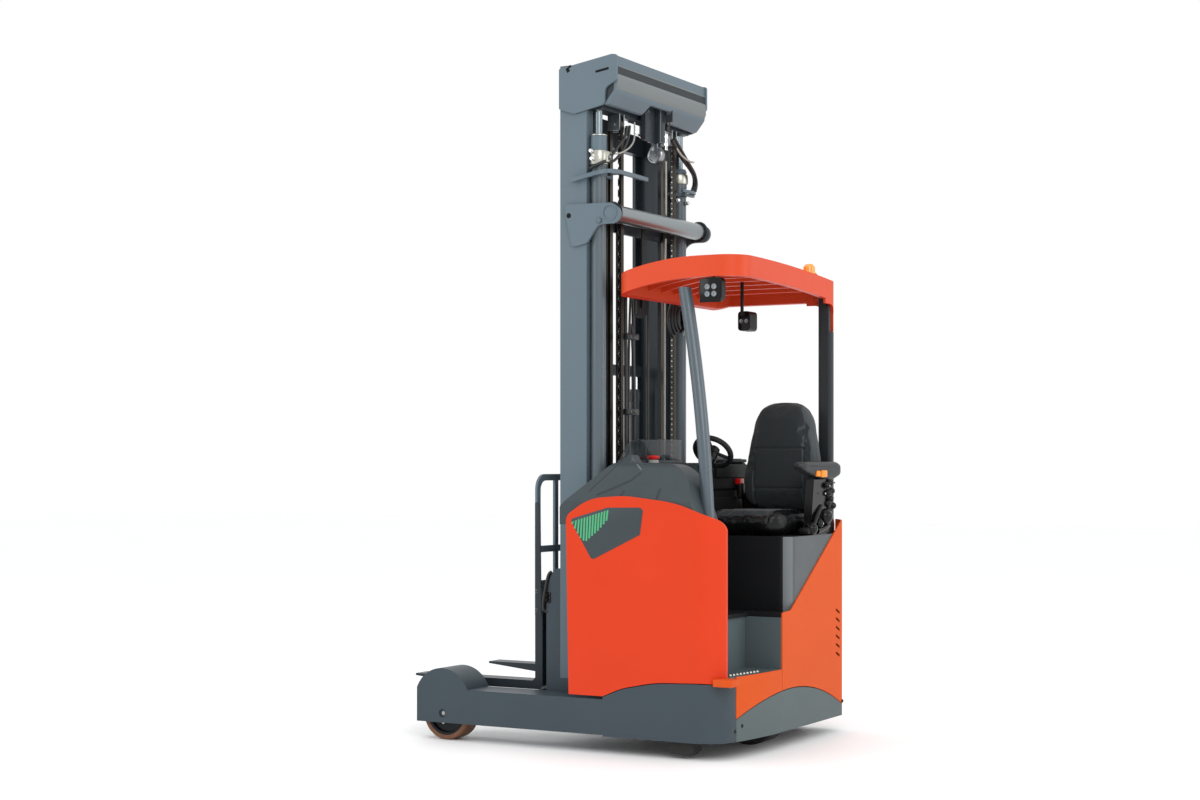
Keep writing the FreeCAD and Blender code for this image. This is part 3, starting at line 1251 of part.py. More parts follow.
def free_lift():
    """The two free-lift cylinders inside the inner stage, with their crosshead on top."""
    x, low = st(D.free_station), D.inner_foot
    barrels, heads = [], []
    for sign in (1, -1):
        y = float(D.free_side) * sign
        at = V(float(x), y, float(low))
        tall = float(D.free_top - low)
        barrel = Part.makeCylinder(float(D.free_radius), tall, at)
        barrel = barrel.fuse(Part.makeCylinder(float(D.free_radius) + 4, 46, at + V(0, 0, tall - 60)))
        arm = block((st(MAST_REAR) + 24, x), (y - 12, y + 12), (low, low + 30))
        bore = Part.makeCylinder(float(D.free_rod_radius + D.running_gap), tall, at + V(0, 0, 80))
        barrels.append(barrel.fuse(arm).cut(bore))
        heads.append(Part.makeCylinder(float(D.free_rod_radius), float(D.free_head - low) - 90,
                                       at + V(0, 0, 90)))
    subpart("free_lift_cylinders", shaped("free_lift_cylinders_shape", Part.makeCompound(barrels)))
    head = block((x - 22, x + 22), (-(D.free_side + 24), D.free_side + 24),
                 (D.free_head, D.free_head + 50))
    subpart("free_lift_head", shaped("free_lift_head_shape",
                                     head.fuse(heads[0]).fuse(heads[1]).removeSplitter()))


# ---------------------------------------------------------------- fork carriage

def lift_carriage():
    """The carriage in the inner rails: hanger plates, rollers and two cross bars."""
    rear, front = st(MAST_REAR) + 34, st(D.hanger_front)
    low, high = D.hanger_low, D.hanger_low + D.hanger_height
    in_outer = MAST_HALF - RAIL_PITCH * 2
    y_out = in_outer - D.hanger_inset
    pieces = []
    for side, sign in (("left", 1), ("right", -1)):
        outline = [(rear, low + 40), (front - 60, low), (front, low), (front, high),
                   (front - 60, high), (rear, high - 60)]
        start = y_out if sign > 0 else -(y_out - D.hanger_plate)
        pieces.append(padded(f"hanger_{side}", "xz", outline, start, D.hanger_plate))
        for row, height in enumerate((low + 90, high - 110)):
            pieces += rollers(f"hanger_roller_{side}_{row}", in_outer, height, sign, y_out - 1)
    face = front + D.cross_bar
    for row, height in (("low", low + 20), ("high", high - 80)):
        pieces.append(box(f"cross_bar_{row}", (front - 1, face),
                          (-D.cross_half, D.cross_half), (height, height + 60)))
        for side, sign in (("left", 1), ("right", -1)):
            pair = (90, 250) if sign > 0 else (-250, -90)
            pieces.append(box(f"slide_pad_{row}_{side}", (face - 1, face + D.slide_gap - D.fit_gap),
                              pair, (height + 24, height + 52)))
    subpart("lift_carriage", fuse("lift_carriage_weld", *pieces))


SHIFT_REAR = D.hanger_front + D.cross_bar + D.slide_gap
TILT_REAR = SHIFT_REAR + D.shift_bar + D.tilt_gap
FORK_FACE = TILT_REAR + D.fem_bar + D.fork_thick


def tilt_eye(side, width, gap):
    """A rounded lug on the tilt axis, seen from the side."""
    x, z, r = st(TILT_REAR - D.tilt_pin_back), D.tilt_pin_height, float(D.tilt_eye)
    back = st(SHIFT_REAR) + 1 if gap else st(TILT_REAR) + 1
    pair = (side - width / 2, side + width / 2)
    eye = Part.makeCylinder(r, float(width), V(float(x), float(pair[0]), float(z)), V(0, 1, 0))
    near, far = (back, x) if gap else (x, back)
    return eye.fuse(block((near, far), pair, (z - r, z + r)))


def tilt_pins():
    """The side shifter's lugs and the pins through them, two to a side."""
    x, z = float(st(TILT_REAR - D.tilt_pin_back)), float(D.tilt_pin_height)
    lug, eye = 12.0, float(D.tilt_eye_width)
    pieces = []
    for sign in (1, -1):
        side = float(D.tilt_side) * sign
        for away in (1, -1):
            middle = side + away * (eye / 2 + 1 + lug / 2)
            pieces.append(tilt_eye(middle, lug, True))
        span = eye + 2 * lug + 6
        pieces.append(Part.makeCylinder(float(D.tilt_pin_radius), span,
                                        V(x, side - span / 2, z), V(0, 1, 0)))
    return pieces


def side_shifter():
    """The frame that slides sideways in front of the lift carriage, with the tilt pins."""
    rear = st(SHIFT_REAR)
    half = D.frame_half
    low, high = D.fem_low, D.fem_high + D.fem_height
    front = rear + D.shift_bar
    frame = block((rear, front), (-half, half), (low, low + 70))
    frame = frame.fuse(block((rear, front), (-half, half), (high - 70, high)))
    for sign in (1, -1):
        pair = (half - 60, half) if sign > 0 else (-half, -(half - 60))
        frame = frame.fuse(block((rear, front), pair, (low, high)))
    over = D.hanger_low + D.hanger_height - 20 + D.fit_gap
    hook = block((rear - D.slide_gap - 10, rear + 6), (60 - half, half - 60), (over, over + 14))
    frame = frame.fuse(hook).fuse(block((rear, front), (60 - half, half - 60), (high - 1, over + 14)))
    for eye in tilt_pins():
        frame = frame.fuse(eye)
    subpart("side_shifter", shaped("side_shifter_shape", frame.removeSplitter()))


def fork_frame():
    """The tilting frame with the two bars that the forks hook over, and its eyes."""
    rear = st(TILT_REAR)
    half = D.frame_half
    front = rear + D.fem_bar
    frame = None
    for low in (D.fem_low, D.fem_high):
        bar = block((rear, front), (-half, half), (low, low + D.fem_height))
        frame = bar if frame is None else frame.fuse(bar)
    for sign in (1, -1):
        pair = (half - 50, half) if sign > 0 else (-half, -(half - 50))
        frame = frame.fuse(block((rear, front), pair, (D.fem_low, D.fem_high + 10)))
        frame = frame.fuse(tilt_eye(float(D.tilt_side) * sign, D.tilt_eye_width, False))
    x, z = float(st(TILT_REAR - D.tilt_pin_back)), float(D.tilt_pin_height)
    bore = Part.makeCylinder(float(D.tilt_pin_radius + D.running_gap), float(half) * 2,
                             V(x, -float(half), z), V(0, 1, 0))
    subpart("fork_frame", shaped("fork_frame_shape", frame.cut(bore).removeSplitter()))


def forks():
    """The L-shaped forks: shank, heel and a blade that thins to its tip."""
    face = st(FORK_FACE)
    tip = st(D.fork_tip_station)
    thick, top = D.fork_thick, D.fork_top
    outline = [(face - thick, top - thick + 16), (face - thick + 16, top - thick),
               (tip - 300, top - thick), (tip, top - D.fork_tip_thick), (tip, top),
               (face + 14, top), (face, top + 14), (face, D.fork_shank_top),
               (face - thick, D.fork_shank_top)]
    twins("forks", [padded(f"fork_{side}", "xz", outline, D.fork_side * sign + D.fork_width / 2,
                          D.fork_width) for side, sign in (("left", 1), ("right", -1))])


def load_backrest():
    """The open guard above the forks: flat bars with rounded upper corners."""
    rear = st(TILT_REAR) + D.fem_bar - D.rest_bar_thick
    half, bar = D.rest_half, D.rest_bar
    outer = plate([(-half, D.rest_low), (-half, D.rest_top, 70), (half, D.rest_top, 70),
                   (half, D.rest_low)], "yz", rear, rear + D.rest_bar_thick)
    inner = plate([(-half + bar, D.rest_low - 10), (-half + bar, D.rest_top - bar, 44),
                   (half - bar, D.rest_top - bar, 44), (half - bar, D.rest_low - 10)],
                  "yz", rear - 5, rear + D.rest_bar_thick + 5)
    frame = outer.cut(inner)
    frame = frame.fuse(block((rear, rear + D.rest_bar_thick), (-half + 1, half - 1),
                             (D.rest_middle - bar / 2, D.rest_middle + bar / 2)))
    for side in (1, -1):
        middle = D.rest_inner * side
        frame = frame.fuse(block((rear, rear + D.rest_bar_thick),
                                 (middle - bar / 2, middle + bar / 2),
                                 (D.fem_high + D.fem_height, D.rest_top - bar + 1)))
    foot = D.frame_half
    for sign in (1, -1):
        pair = (foot - 40, half - 1) if sign > 0 else (-half + 1, -(foot - 40))
        frame = frame.fuse(block((rear, rear + D.rest_bar_thick), pair,
                                 (D.fem_high + D.fem_height, D.fem_high + D.fem_height + 40)))
    subpart("load_backrest", shaped("load_backrest_shape", frame.removeSplitter()))


BUILDERS = (legs, load_axles, load_wheels, chassis_frame, drive_bay_top, battery, flank_panels,
            tail_covers, step_and_floor, hood, seat, armrest, steering, emergency_stop, guard,
            guard_posts, lamps, drive_unit,
            support_feet, outer_rails, moving_stages, reach_carriage, mast_head, mast_tie,
            lift_cylinders, barrel_clamps, lift_chains, chain_sheaves, mast_hoses, hose_pulley,
            free_lift, lift_carriage, side_shifter, fork_frame, forks, load_backrest)


def check_document():
    """Every object computed, and every sub-part a valid solid."""
    bad = [o.Name for o in doc.Objects if "Invalid" in o.State or "Error" in o.State]
    for thing in SUBPARTS:
        if thing.Shape.isNull() or not thing.Shape.isValid() or not thing.Shape.Solids:
            bad.append(thing.Label)
    if bad:
        raise RuntimeError("failed: " + ", ".join(bad))


def main():
    for build in BUILDERS:
        build()
    doc.recompute()
    check_document()
    os.makedirs("parts", exist_ok=True)
    for thing in SUBPARTS:
        thing.Shape.exportStep(f"parts/{thing.Label}.step")
        where = thing.Shape.BoundBox
        print(f"{thing.Label}: solids {len(thing.Shape.Solids)}, volume {thing.Shape.Volume:.0f}, "
              f"x {where.XMin:.1f}..{where.XMax:.1f} y {where.YMin:.1f}..{where.YMax:.1f} "
              f"z {where.ZMin:.1f}..{where.ZMax:.1f}")


main()
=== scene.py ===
"""Dresses the sit-down reach truck: paints, seat, chains, hoses, lamps, trim and fasteners."""

import math

import bmesh
import bpy
from mathutils import Matrix, Vector


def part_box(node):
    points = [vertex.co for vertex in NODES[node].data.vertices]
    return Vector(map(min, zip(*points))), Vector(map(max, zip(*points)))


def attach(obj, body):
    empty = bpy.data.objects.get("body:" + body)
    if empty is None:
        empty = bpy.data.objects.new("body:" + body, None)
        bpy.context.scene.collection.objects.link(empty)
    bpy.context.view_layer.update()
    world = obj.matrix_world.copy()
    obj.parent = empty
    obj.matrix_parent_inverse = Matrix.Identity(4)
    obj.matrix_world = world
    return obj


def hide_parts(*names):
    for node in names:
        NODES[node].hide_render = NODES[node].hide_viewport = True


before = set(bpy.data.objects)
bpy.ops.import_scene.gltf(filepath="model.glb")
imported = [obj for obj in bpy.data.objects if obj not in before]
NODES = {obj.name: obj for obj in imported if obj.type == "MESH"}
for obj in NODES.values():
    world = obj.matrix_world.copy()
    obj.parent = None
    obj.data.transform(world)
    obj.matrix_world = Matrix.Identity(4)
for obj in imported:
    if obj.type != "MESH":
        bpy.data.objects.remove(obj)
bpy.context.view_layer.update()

bl_info = {
    "name": "Reach truck dressing",
    "version": (1, 0, 0),
    "blender": (4, 5, 0),
    "location": "View3D > Sidebar > Reach truck",
    "description": "Adds finishes, seat, chains, hoses, lamps and trim to the reach truck",
    "category": "Object",
}

MM = 0.001


# ---------------------------------------------------------------- materials

def linear(hex_colour):
    """An sRGB colour such as 'cf3609' as linear RGBA."""
    def channel(value):
        return value / 12.92 if value <= 0.04045 else ((value + 0.055) / 1.055) ** 2.4
    values = [int(hex_colour[i:i + 2], 16) / 255 for i in (0, 2, 4)]
    return tuple(channel(value) for value in values) + (1.0,)


def node(tree, kind, links=(), **inputs):
    """Adds one node, sets its inputs by name and links (input name, source socket) pairs."""
    made = tree.nodes.new(kind)
    for name, value in inputs.items():
        if name.startswith("_"):
            setattr(made, name[1:], value)
        else:
            made.inputs[name.replace("_", " ")].default_value = value
    for name, source in links:
        tree.links.new(source, made.inputs[name])
    return made


def blank(name):
    """A new material with its shader; gives the tree, the shader and object coordinates."""
    made = bpy.data.materials.new(name)
    made.use_nodes = True
    tree = made.node_tree
    tree.nodes.clear()
    shader = tree.nodes.new("ShaderNodeBsdfPrincipled")
    out = tree.nodes.new("ShaderNodeOutputMaterial")
    tree.links.new(shader.outputs["BSDF"], out.inputs["Surface"])
    place = tree.nodes.new("ShaderNodeTexCoord").outputs["Object"]
    return made, tree, shader, place


def noise(tree, place, size_mm, detail=3.0):
    """Noise whose blobs are about size_mm across."""
    return node(tree, "ShaderNodeTexNoise", [("Vector", place)],
                Scale=1000.0 / size_mm, Detail=detail).outputs["Fac"]


def tint(tree, shader, factor, dark, light):
    """The base colour drifts between two close shades."""
    mix = node(tree, "ShaderNodeMix", _data_type="RGBA")
    tree.links.new(factor, mix.inputs["Factor"])
    for socket in mix.inputs:
        if socket.type == "RGBA":
            socket.default_value = dark if socket.name == "A" else light
    colour = [socket for socket in mix.outputs if socket.type == "RGBA"][0]
    tree.links.new(colour, shader.inputs["Base Color"])


def vary(tree, shader, factor, low, high):
    """Roughness drifts between low and high."""
    span = node(tree, "ShaderNodeMapRange", [("Value", factor)], To_Min=low, To_Max=high)
    tree.links.new(span.outputs["Result"], shader.inputs["Roughness"])


def bump(tree, shader, height, depth_mm, strength=1.0):
    """Relief of depth_mm from a height between 0 and 1."""
    made = node(tree, "ShaderNodeBump", [("Height", height)], Strength=strength,
                Distance=depth_mm * MM)
    tree.links.new(made.outputs["Normal"], shader.inputs["Normal"])


def shade(hex_colour, factor):
    """A colour made lighter or darker."""
    base = linear(hex_colour)
    return tuple(min(1.0, value * factor) for value in base[:3]) + (1.0,)


def paint(name, colour, rough=0.34, coat=0.25, peel_mm=1.6, depth=0.02, gloss=0.22):
    """Sprayed paint: a faint drift of tone, fine orange peel in the gloss."""
    made, tree, shader, place = blank(name)
    drift = noise(tree, place, 240, 2.0)
    tint(tree, shader, drift, shade(colour, 0.94), shade(colour, 1.05))
    vary(tree, shader, noise(tree, place, 60), rough - 0.05, rough + 0.07)
    bump(tree, shader, noise(tree, place, peel_mm, 1.0), depth)
    shader.inputs["Coat Weight"].default_value = coat
    shader.inputs["Coat Roughness"].default_value = 0.18
    shader.inputs["Specular IOR Level"].default_value = gloss
    return made


def moulding(name, colour, rough=0.55, grain_mm=1.1, depth=0.05):
    """Moulded plastic: pebbled grain that breaks the shine."""
    made, tree, shader, place = blank(name)
    tint(tree, shader, noise(tree, place, 90), shade(colour, 0.9), shade(colour, 1.1))
    cells = node(tree, "ShaderNodeTexVoronoi", [("Vector", place)], Scale=1000.0 / grain_mm)
    vary(tree, shader, noise(tree, place, 14), rough - 0.06, rough + 0.08)
    bump(tree, shader, cells.outputs["Distance"], depth)
    shader.inputs["Specular IOR Level"].default_value = 0.25
    return made


def metal(name, colour, rough=0.28, scratch_mm=0.6, stretch=(1, 1, 14), depth=0.006):
    """Bare metal: fine drawn lines along its length."""
    made, tree, shader, place = blank(name)
    lines = node(tree, "ShaderNodeMapping", [("Vector", place)])
    lines.inputs["Scale"].default_value = (1 / stretch[0], 1 / stretch[1], 1 / stretch[2])
    grain = noise(tree, lines.outputs["Vector"], scratch_mm, 2.0)
    tint(tree, shader, grain, shade(colour, 0.86), shade(colour, 1.08))
    vary(tree, shader, grain, rough - 0.08, rough + 0.1)
    bump(tree, shader, grain, depth)
    shader.inputs["Metallic"].default_value = 1.0
    return made


def rubber(name, colour, rough=0.72, dust="2a2927"):
    """Rubber or polyurethane: dull, a little dusty in patches."""
    made, tree, shader, place = blank(name)
    tint(tree, shader, noise(tree, place, 22, 4.0), linear(colour), linear(dust))
    vary(tree, shader, noise(tree, place, 6), rough - 0.1, rough + 0.08)
    bump(tree, shader, noise(tree, place, 0.9, 2.0), 0.04)
    return made


def weave(name, colour, thread_mm=2.6):
    """Woven seat fabric: crossing ribs with a soft fuzz of light at grazing angles."""
    made, tree, shader, place = blank(name)
    ribs = []
    for axis in ("X", "Z"):
        wave = node(tree, "ShaderNodeTexWave", [("Vector", place)], _bands_direction=axis,
                    Scale=1000.0 / thread_mm / 6.2832 * 2.0, Distortion=0.6, Detail=1.0)
        ribs.append(wave.outputs["Fac"])
    cross = node(tree, "ShaderNodeMath", _operation="MAXIMUM")
    tree.links.new(ribs[0], cross.inputs[0])
    tree.links.new(ribs[1], cross.inputs[1])
    tint(tree, shader, cross.outputs["Value"], shade(colour, 0.6), shade(colour, 1.35))
    bump(tree, shader, cross.outputs["Value"], 0.3, 0.6)
    shader.inputs["Roughness"].default_value = 0.92
    shader.inputs["Sheen Weight"].default_value = 0.12
    shader.inputs["Sheen Roughness"].default_value = 0.5
    return made


def lens(name, colour, glow=0.0, rough=0.12):
    """Clear coloured plastic with light caught inside."""
    made, tree, shader, place = blank(name)
    tint(tree, shader, noise(tree, place, 9), shade(colour, 0.85), shade(colour, 1.15))
    shader.inputs["Roughness"].default_value = rough
    shader.inputs["Coat Weight"].default_value = 0.6
    shader.inputs["Emission Color"].default_value = linear(colour)
    shader.inputs["Emission Strength"].default_value = glow
    return made


def tinted(name, colour, cover):
    """A smoked clear sheet: what is behind shows through it, darkened."""
    made, tree, shader, place = blank(name)
    tint(tree, shader, noise(tree, place, 80), shade(colour, 0.95), shade(colour, 1.05))
    shader.inputs["Roughness"].default_value = 0.12
    shader.inputs["Alpha"].default_value = cover
    return made


FINISHES = {}


def make_finishes():
    """Every finish on the truck, by its real surface."""
    FINISHES.update({
        "orange_paint": paint("orange_red_gloss_paint", "cf3609", 0.38, 0.05),
        # Painted light: a lighter, yellower copy of the orange paint for the tail's panels, which
        # catch more light than the flanks.
        "tail_paint": paint("lighter_orange_copy_for_lit_tail", "cd521f", 0.5, 0.0, gloss=0.08),
        "bumper_paint": paint("warm_grey_bumper_paint", "566162", 0.5, 0.0, gloss=0.15),
        "post_paint": paint("slate_post_enamel", "46525a", 0.28, 0.35, gloss=0.4),
        "guard_paint": paint("orange_red_guard_paint", "cb4420", 0.38, 0.05),
        # Painted shade: the chassis and the mast carry one grey paint; this darker copy goes on the
        # legs, the reach carriage and the axles.
        "chassis_shaded_grey": paint("shaded_slate_grey_copy_for_chassis", "3a454c", 0.44, 0.06),
        # Painted light: the lighter copy of the same grey, on the outer mast, its head and its
        # fittings.
        "mast_paint": paint("lit_mid_grey_copy_for_mast", "5c6b74", 0.42, 0.08),
        "stage_paint": paint("dark_grey_mast_stage_paint", "262e34", 0.40, 0.10),
        "dark_paint": paint("charcoal_frame_paint", "24282b", 0.45, 0.1),
        "hood_plastic": moulding("slate_hood_moulding", "3b4347", 0.46, 1.4, 0.05),
        "black_plastic": moulding("black_cab_moulding", "141517", 0.5),
        "console_plastic": moulding("black_soft_console", "0e0f10", 0.62, 1.6, 0.08),
        "seat_fabric": weave("charcoal_woven_seat_fabric", "1d2326"),
        "seat_side_fabric": weave("grey_seat_side_fabric", "363c3f", 3.4),
        "seat_vinyl": moulding("black_seat_vinyl", "0d0e0f", 0.28, 2.6, 0.04),
        "armrest_vinyl": moulding("charcoal_armrest_vinyl", "2b2e30", 0.42, 1.8, 0.06),
        "gloss_black": moulding("glossy_black_lever_knobs", "0a0a0b", 0.16, 3.0, 0.01),
        "polyurethane": rubber("amber_polyurethane_tread", "764824", 0.5, "54341c"),
        "tyre_rubber": rubber("black_drive_tyre", "141414", 0.75, "262523"),
        "hose_rubber": rubber("black_hydraulic_hose", "0f0f10", 0.45, "1b1b1b"),
        "iron": metal("dark_cast_hub", "2c2e30", 0.5, 1.5, (1, 1, 1), 0.05),
        "steel": metal("machined_steel", "9da1a4", 0.3),
        "chrome": metal("hard_chrome_rod", "d8dadb", 0.12, 0.4, (1, 1, 20), 0.002),
        "zinc": metal("zinc_plated_fastener", "b7b7ad", 0.32, 0.8, (1, 1, 1), 0.01),
        "chain_steel": metal("oiled_chain_steel", "4c4843", 0.36, 0.7, (1, 1, 1), 0.02),
        "amber": lens("amber_beacon_lens", "f58a1c", 0.25),
        "stop_red": paint("red_stop_button", "d21414", 0.3, 0.4, 3.0, 0.01),
        "switch_orange": paint("orange_switch_caps", "f08a12", 0.35, 0.2),
        "lamp_glass": lens("clear_lamp_lens", "6f767b", 0.0, 0.12),
        "lamp_black": moulding("black_lamp_housing", "0c0d0e", 0.4),
        "dark_void": paint("black_shadow_gap", "060606", 0.7, 0.0),
        "panel_dark": paint("dark_badge_panel", "384145", 0.4, 0.1),
        "panel_green": paint("green_badge_stripes", "4aa874", 0.4, 0.1),
        "barrel_paint": paint("grey_cylinder_enamel", "525d63", 0.3, 0.3),
        "rod_steel": metal("ground_piston_rod", "7c868b", 0.3, 0.4, (1, 1, 20), 0.002),
        # Painted highlight: a lighter metallic copy of the mast grey on the tie tube's round faces,
        # standing in for the tube's bright highlight.
        "tie_tube_highlight": metal("tie_tube_highlight_grey_metal", "8f9698", 0.32, 2.0, (1, 1, 1), 0.01),
        # Painted highlight: a lighter grey for the mast head's lip and top edge and the hood fin's
        # edge, where they catch light; also the guide box's plain pale grey part.
        "beam_paint": paint("pale_grey_beam_and_highlight_paint", "6d7475", 0.4, 0.08),
        # Painted shade: a dark grey laid in grooves, slits and creases where shade falls.
        "groove_grey": paint("shadowed_beam_groove", "34393b", 0.6, 0.0),
        "riser_grey": paint("grey_step_riser_paint", "515c5f", 0.45, 0.05),
        # Painted shade: a deeper red copy of the guard paint for the guard's downward faces.
        "guard_shaded_bottom": paint("shaded_red_copy_for_guard_bottom", "d02c10", 0.4, 0.05),
        "shield_grey": moulding("charcoal_seat_shield", "53585a", 0.5),
        # Painted light: a lighter copy of the shield grey on the shield's bend, where it turns toward
        # the light.
        "shield_corner": moulding("grey_seat_shield_corner", "6a7072", 0.45),
        "tinted_sheet": tinted("tinted_polycarbonate", "2c363a", 0.4),
        "cable_grey": rubber("pale_grey_cable_sleeve", "a9aca6", 0.5, "8d8a80"),
    })


CAD_FINISH = {
    "orange_paint": ("flank_panel_left", "flank_panel_right"),
    # The tail's panels and the fascia's return take the lighter copy of the orange: painted light.
    "tail_paint": ("step_fascia", "rear_panel"),
    "bumper_paint": ("tail_bumper",),
    "post_paint": ("guard_post_left",),
    "guard_paint": ("overhead_guard",),
    "riser_grey": ("entry_step",),
    # Shaded and lit copies of one grey paint: painted shade on the chassis, painted light on the
    # mast.
    "chassis_shaded_grey": ("leg_left", "leg_right", "reach_carriage", "load_axles"),
    "mast_paint": ("outer_rails", "mast_head", "mast_tie", "load_backrest", "barrel_clamps"),
    "stage_paint": ("middle_mast", "inner_mast", "lift_carriage", "side_shifter", "fork_frame",
                    "free_lift_cylinders", "forks"),
    "barrel_paint": ("lift_barrels",),
    "dark_paint": ("chassis_frame", "drive_deck", "guard_post_rear", "drive_motor",
                   "battery_pack"),
    "hood_plastic": ("battery_hood", "cab_shoulder"),
    "black_plastic": ("seat_box", "cab_floor", "steering_wheel", "armrest", "hose_pulley"),
    "gloss_black": ("armrest_stand",),
    "console_plastic": ("cab_console",),
    "seat_fabric": ("seat_cushion", "seat_back"),
    "polyurethane": ("load_tyre_left", "load_tyre_right"),
    "tyre_rubber": ("drive_tyre", "support_feet"),
    "iron": ("load_hub_left", "load_hub_right", "drive_hub", "drive_turntable"),
    "steel": ("chain_sheaves",),
    "rod_steel": ("lift_rods",),
    "chrome": ("free_lift_head",),
    "chain_steel": ("lift_chains",),
    "hose_rubber": ("mast_hoses",),
    "amber": ("beacon",),
    "stop_red": ("emergency_stop",),
    "lamp_black": ("work_lamps",),
}


def dress_cad():
    """Every CAD node gets its real finish."""
    for finish, names in CAD_FINISH.items():
        for name in names:
            slots = NODES[name].data.materials
            slots.clear()
            slots.append(FINISHES[finish])


# ---------------------------------------------------------------- mesh helpers

def piece(name, mesh_maker, finish, body="chassis", smooth=35.0):
    """One new object from a bmesh filler, shaded, finished and riding on its body."""
    bm = bmesh.new()
    mesh_maker(bm)
    bmesh.ops.remove_doubles(bm, verts=bm.verts, dist=1e-6)
    bmesh.ops.recalc_face_normals(bm, faces=bm.faces)
    mesh = bpy.data.meshes.new(name)
    bm.to_mesh(mesh)
    bm.free()
    made = bpy.data.objects.new(name, mesh)
    bpy.context.scene.collection.objects.link(made)
    finishes = finish if isinstance(finish, (list, tuple)) else (finish,)
    for one in finishes:
        mesh.materials.append(FINISHES[one])
    mesh.shade_smooth()
    mesh.set_sharp_from_angle(angle=math.radians(smooth))
    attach(made, body)
    return made


def turned(direction):
    """The rotation that takes +Z to a direction."""
    return Vector((0, 0, 1)).rotation_difference(Vector(direction).normalized()).to_matrix().to_4x4()


def add_box(bm, low, high, bevel=0.0, slot=0):
    """A box between two corners, its edges rounded; gives its new vertices."""
    low, high = Vector(low), Vector(high)
    made = bmesh.ops.create_cube(bm, size=1.0)["verts"]
    bmesh.ops.scale(bm, vec=high - low, verts=made)
    bmesh.ops.translate(bm, vec=(low + high) / 2, verts=made)
    return rounded(bm, made, bevel, slot)


def rounded(bm, verts, bevel, slot):
    """Bevels the edges among some vertices and sets their faces' slot."""
    faces = set(face for vert in verts for face in vert.link_faces)
    if bevel > 0:
        edges = set(edge for face in faces for edge in face.edges if edge.calc_face_angle(0) > 0.5)
        made = bmesh.ops.bevel(bm, geom=list(edges), offset=bevel, segments=2, profile=0.5,
                               affect="EDGES", clamp_overlap=True)
        faces = set(face for face in faces if face.is_valid) | set(made["faces"])
    for face in faces:
        face.material_index = slot
    return list(set(vert for face in faces for vert in face.verts))


def add_rod(bm, start, end, radius, slot=0, sides=24, bevel=0.0):
    """A round bar between two points, its rims eased."""
    start, end = Vector(start), Vector(end)
    made = bmesh.ops.create_cone(bm, cap_ends=True, segments=sides, radius1=radius,
                                 radius2=radius, depth=(end - start).length)["verts"]
    bmesh.ops.transform(bm, matrix=turned(end - start), verts=made)
    bmesh.ops.translate(bm, vec=(start + end) / 2, verts=made)
    return rounded(bm, made, bevel, slot)


def add_lathe(bm, profile, at, axis, slot=0, sides=32):
    """A profile of (radius, height) pairs turned about an axis through a point."""
    turn = turned(axis)
    rings = []
    for radius, height in profile:
        ring = []
        for i in range(sides):
            angle = 2 * math.pi * i / sides
            spot = Vector((radius * math.cos(angle), radius * math.sin(angle), height))
            ring.append(bm.verts.new(turn @ spot + Vector(at)))
            if radius == 0:
                break
        rings.append(ring)
    for one, two in zip(rings, rings[1:]):
        for i in range(sides):
            corners = [one[i % len(one)], one[(i + 1) % len(one)],
                       two[(i + 1) % len(two)], two[i % len(two)]]
            corners = list(dict.fromkeys(corners))
            if len(corners) > 2:
                bm.faces.new(corners).material_index = slot


def bridge(bm, rings, slot=0):
    """Faces between each ring of points and the next."""
    for one, two in zip(rings, rings[1:]):
        count = len(one)
        for k in range(count):
            after = (k + 1) % count
            bm.faces.new((one[k], one[after], two[after], two[k])).material_index = slot


def cap_ends(bm, rings, slot=0):
    """Closes the first and the last ring."""
    for ring in (rings[0][::-1], rings[-1]):
        bm.faces.new(ring).material_index = slot


def add_tube(bm, points, radius, slot=0, sides=10):
    """A round tube along a smooth run of points."""
    points = [Vector(point) for point in points]
    rings = []
    normal = None
    last = len(points) - 1
    for i, point in enumerate(points):
        way = (points[min(i + 1, last)] - points[max(i - 1, 0)]).normalized()
        if normal is None:
            normal = way.orthogonal().normalized()
        normal = (normal - way * normal.dot(way)).normalized()
        side = way.cross(normal)
        rings.append([bm.verts.new(point + (normal * math.cos(a) + side * math.sin(a)) * radius)
                      for a in (2 * math.pi * k / sides for k in range(sides))])
    bridge(bm, rings, slot)
    cap_ends(bm, rings, slot)


def smooth_run(points, steps=6):
    """A Catmull-Rom line through a few points."""
    points = [Vector(point) for point in points]
    last = len(points) - 1
    out = []
    for i in range(last):
        a, b, c = points[max(i - 1, 0)], points[i], points[i + 1]
        d = points[min(i + 2, last)]
        for k in range(steps):
            t = k / steps
            out.append(((-a + b * 3 - c * 3 + d) * t ** 3 + (a * 2 - b * 5 + c * 4 - d) * t ** 2
                        + (c - a) * t + b * 2) / 2)
    out.append(points[-1])
    return out


def add_runs(bm, runs, steps, sides):
    """Tubes through several (points, radius) pairs."""
    for run, radius in runs:
        add_tube(bm, smooth_run(run, steps), radius, 0, sides)


def add_plate(bm, outline, normal_axis, low, high, bevel=0.0, slot=0):
    """A plate from a closed outline of (u, v) pairs, thick along one axis."""
    def spot(u, v, w):
        return {"x": (w, u, v), "y": (u, w, v), "z": (u, v, w)}[normal_axis]
    near = [bm.verts.new(spot(u, v, low)) for u, v in outline]
    far = [bm.verts.new(spot(u, v, high)) for u, v in outline]
    bm.faces.new(near)
    bm.faces.new(far[::-1])
    for i in range(len(near)):
        j = (i + 1) % len(near)
        bm.faces.new((near[j], near[i], far[i], far[j]))
    bmesh.ops.recalc_face_normals(bm, faces=list(set(f for v in near + far for f in v.link_faces)))
    return rounded(bm, near + far, bevel, slot)


def add_bolt(bm, at, axis, size, slot=0):
    """A hexagon head on its washer."""
    axis = Vector(axis).normalized()
    at = Vector(at)
    add_rod(bm, at, at + axis * size * 0.18, size * 1.25, slot, 20, size * 0.06)
    add_rod(bm, at + axis * size * 0.18, at + axis * size * 0.85, size * 0.9, slot, 6,
            size * 0.1)


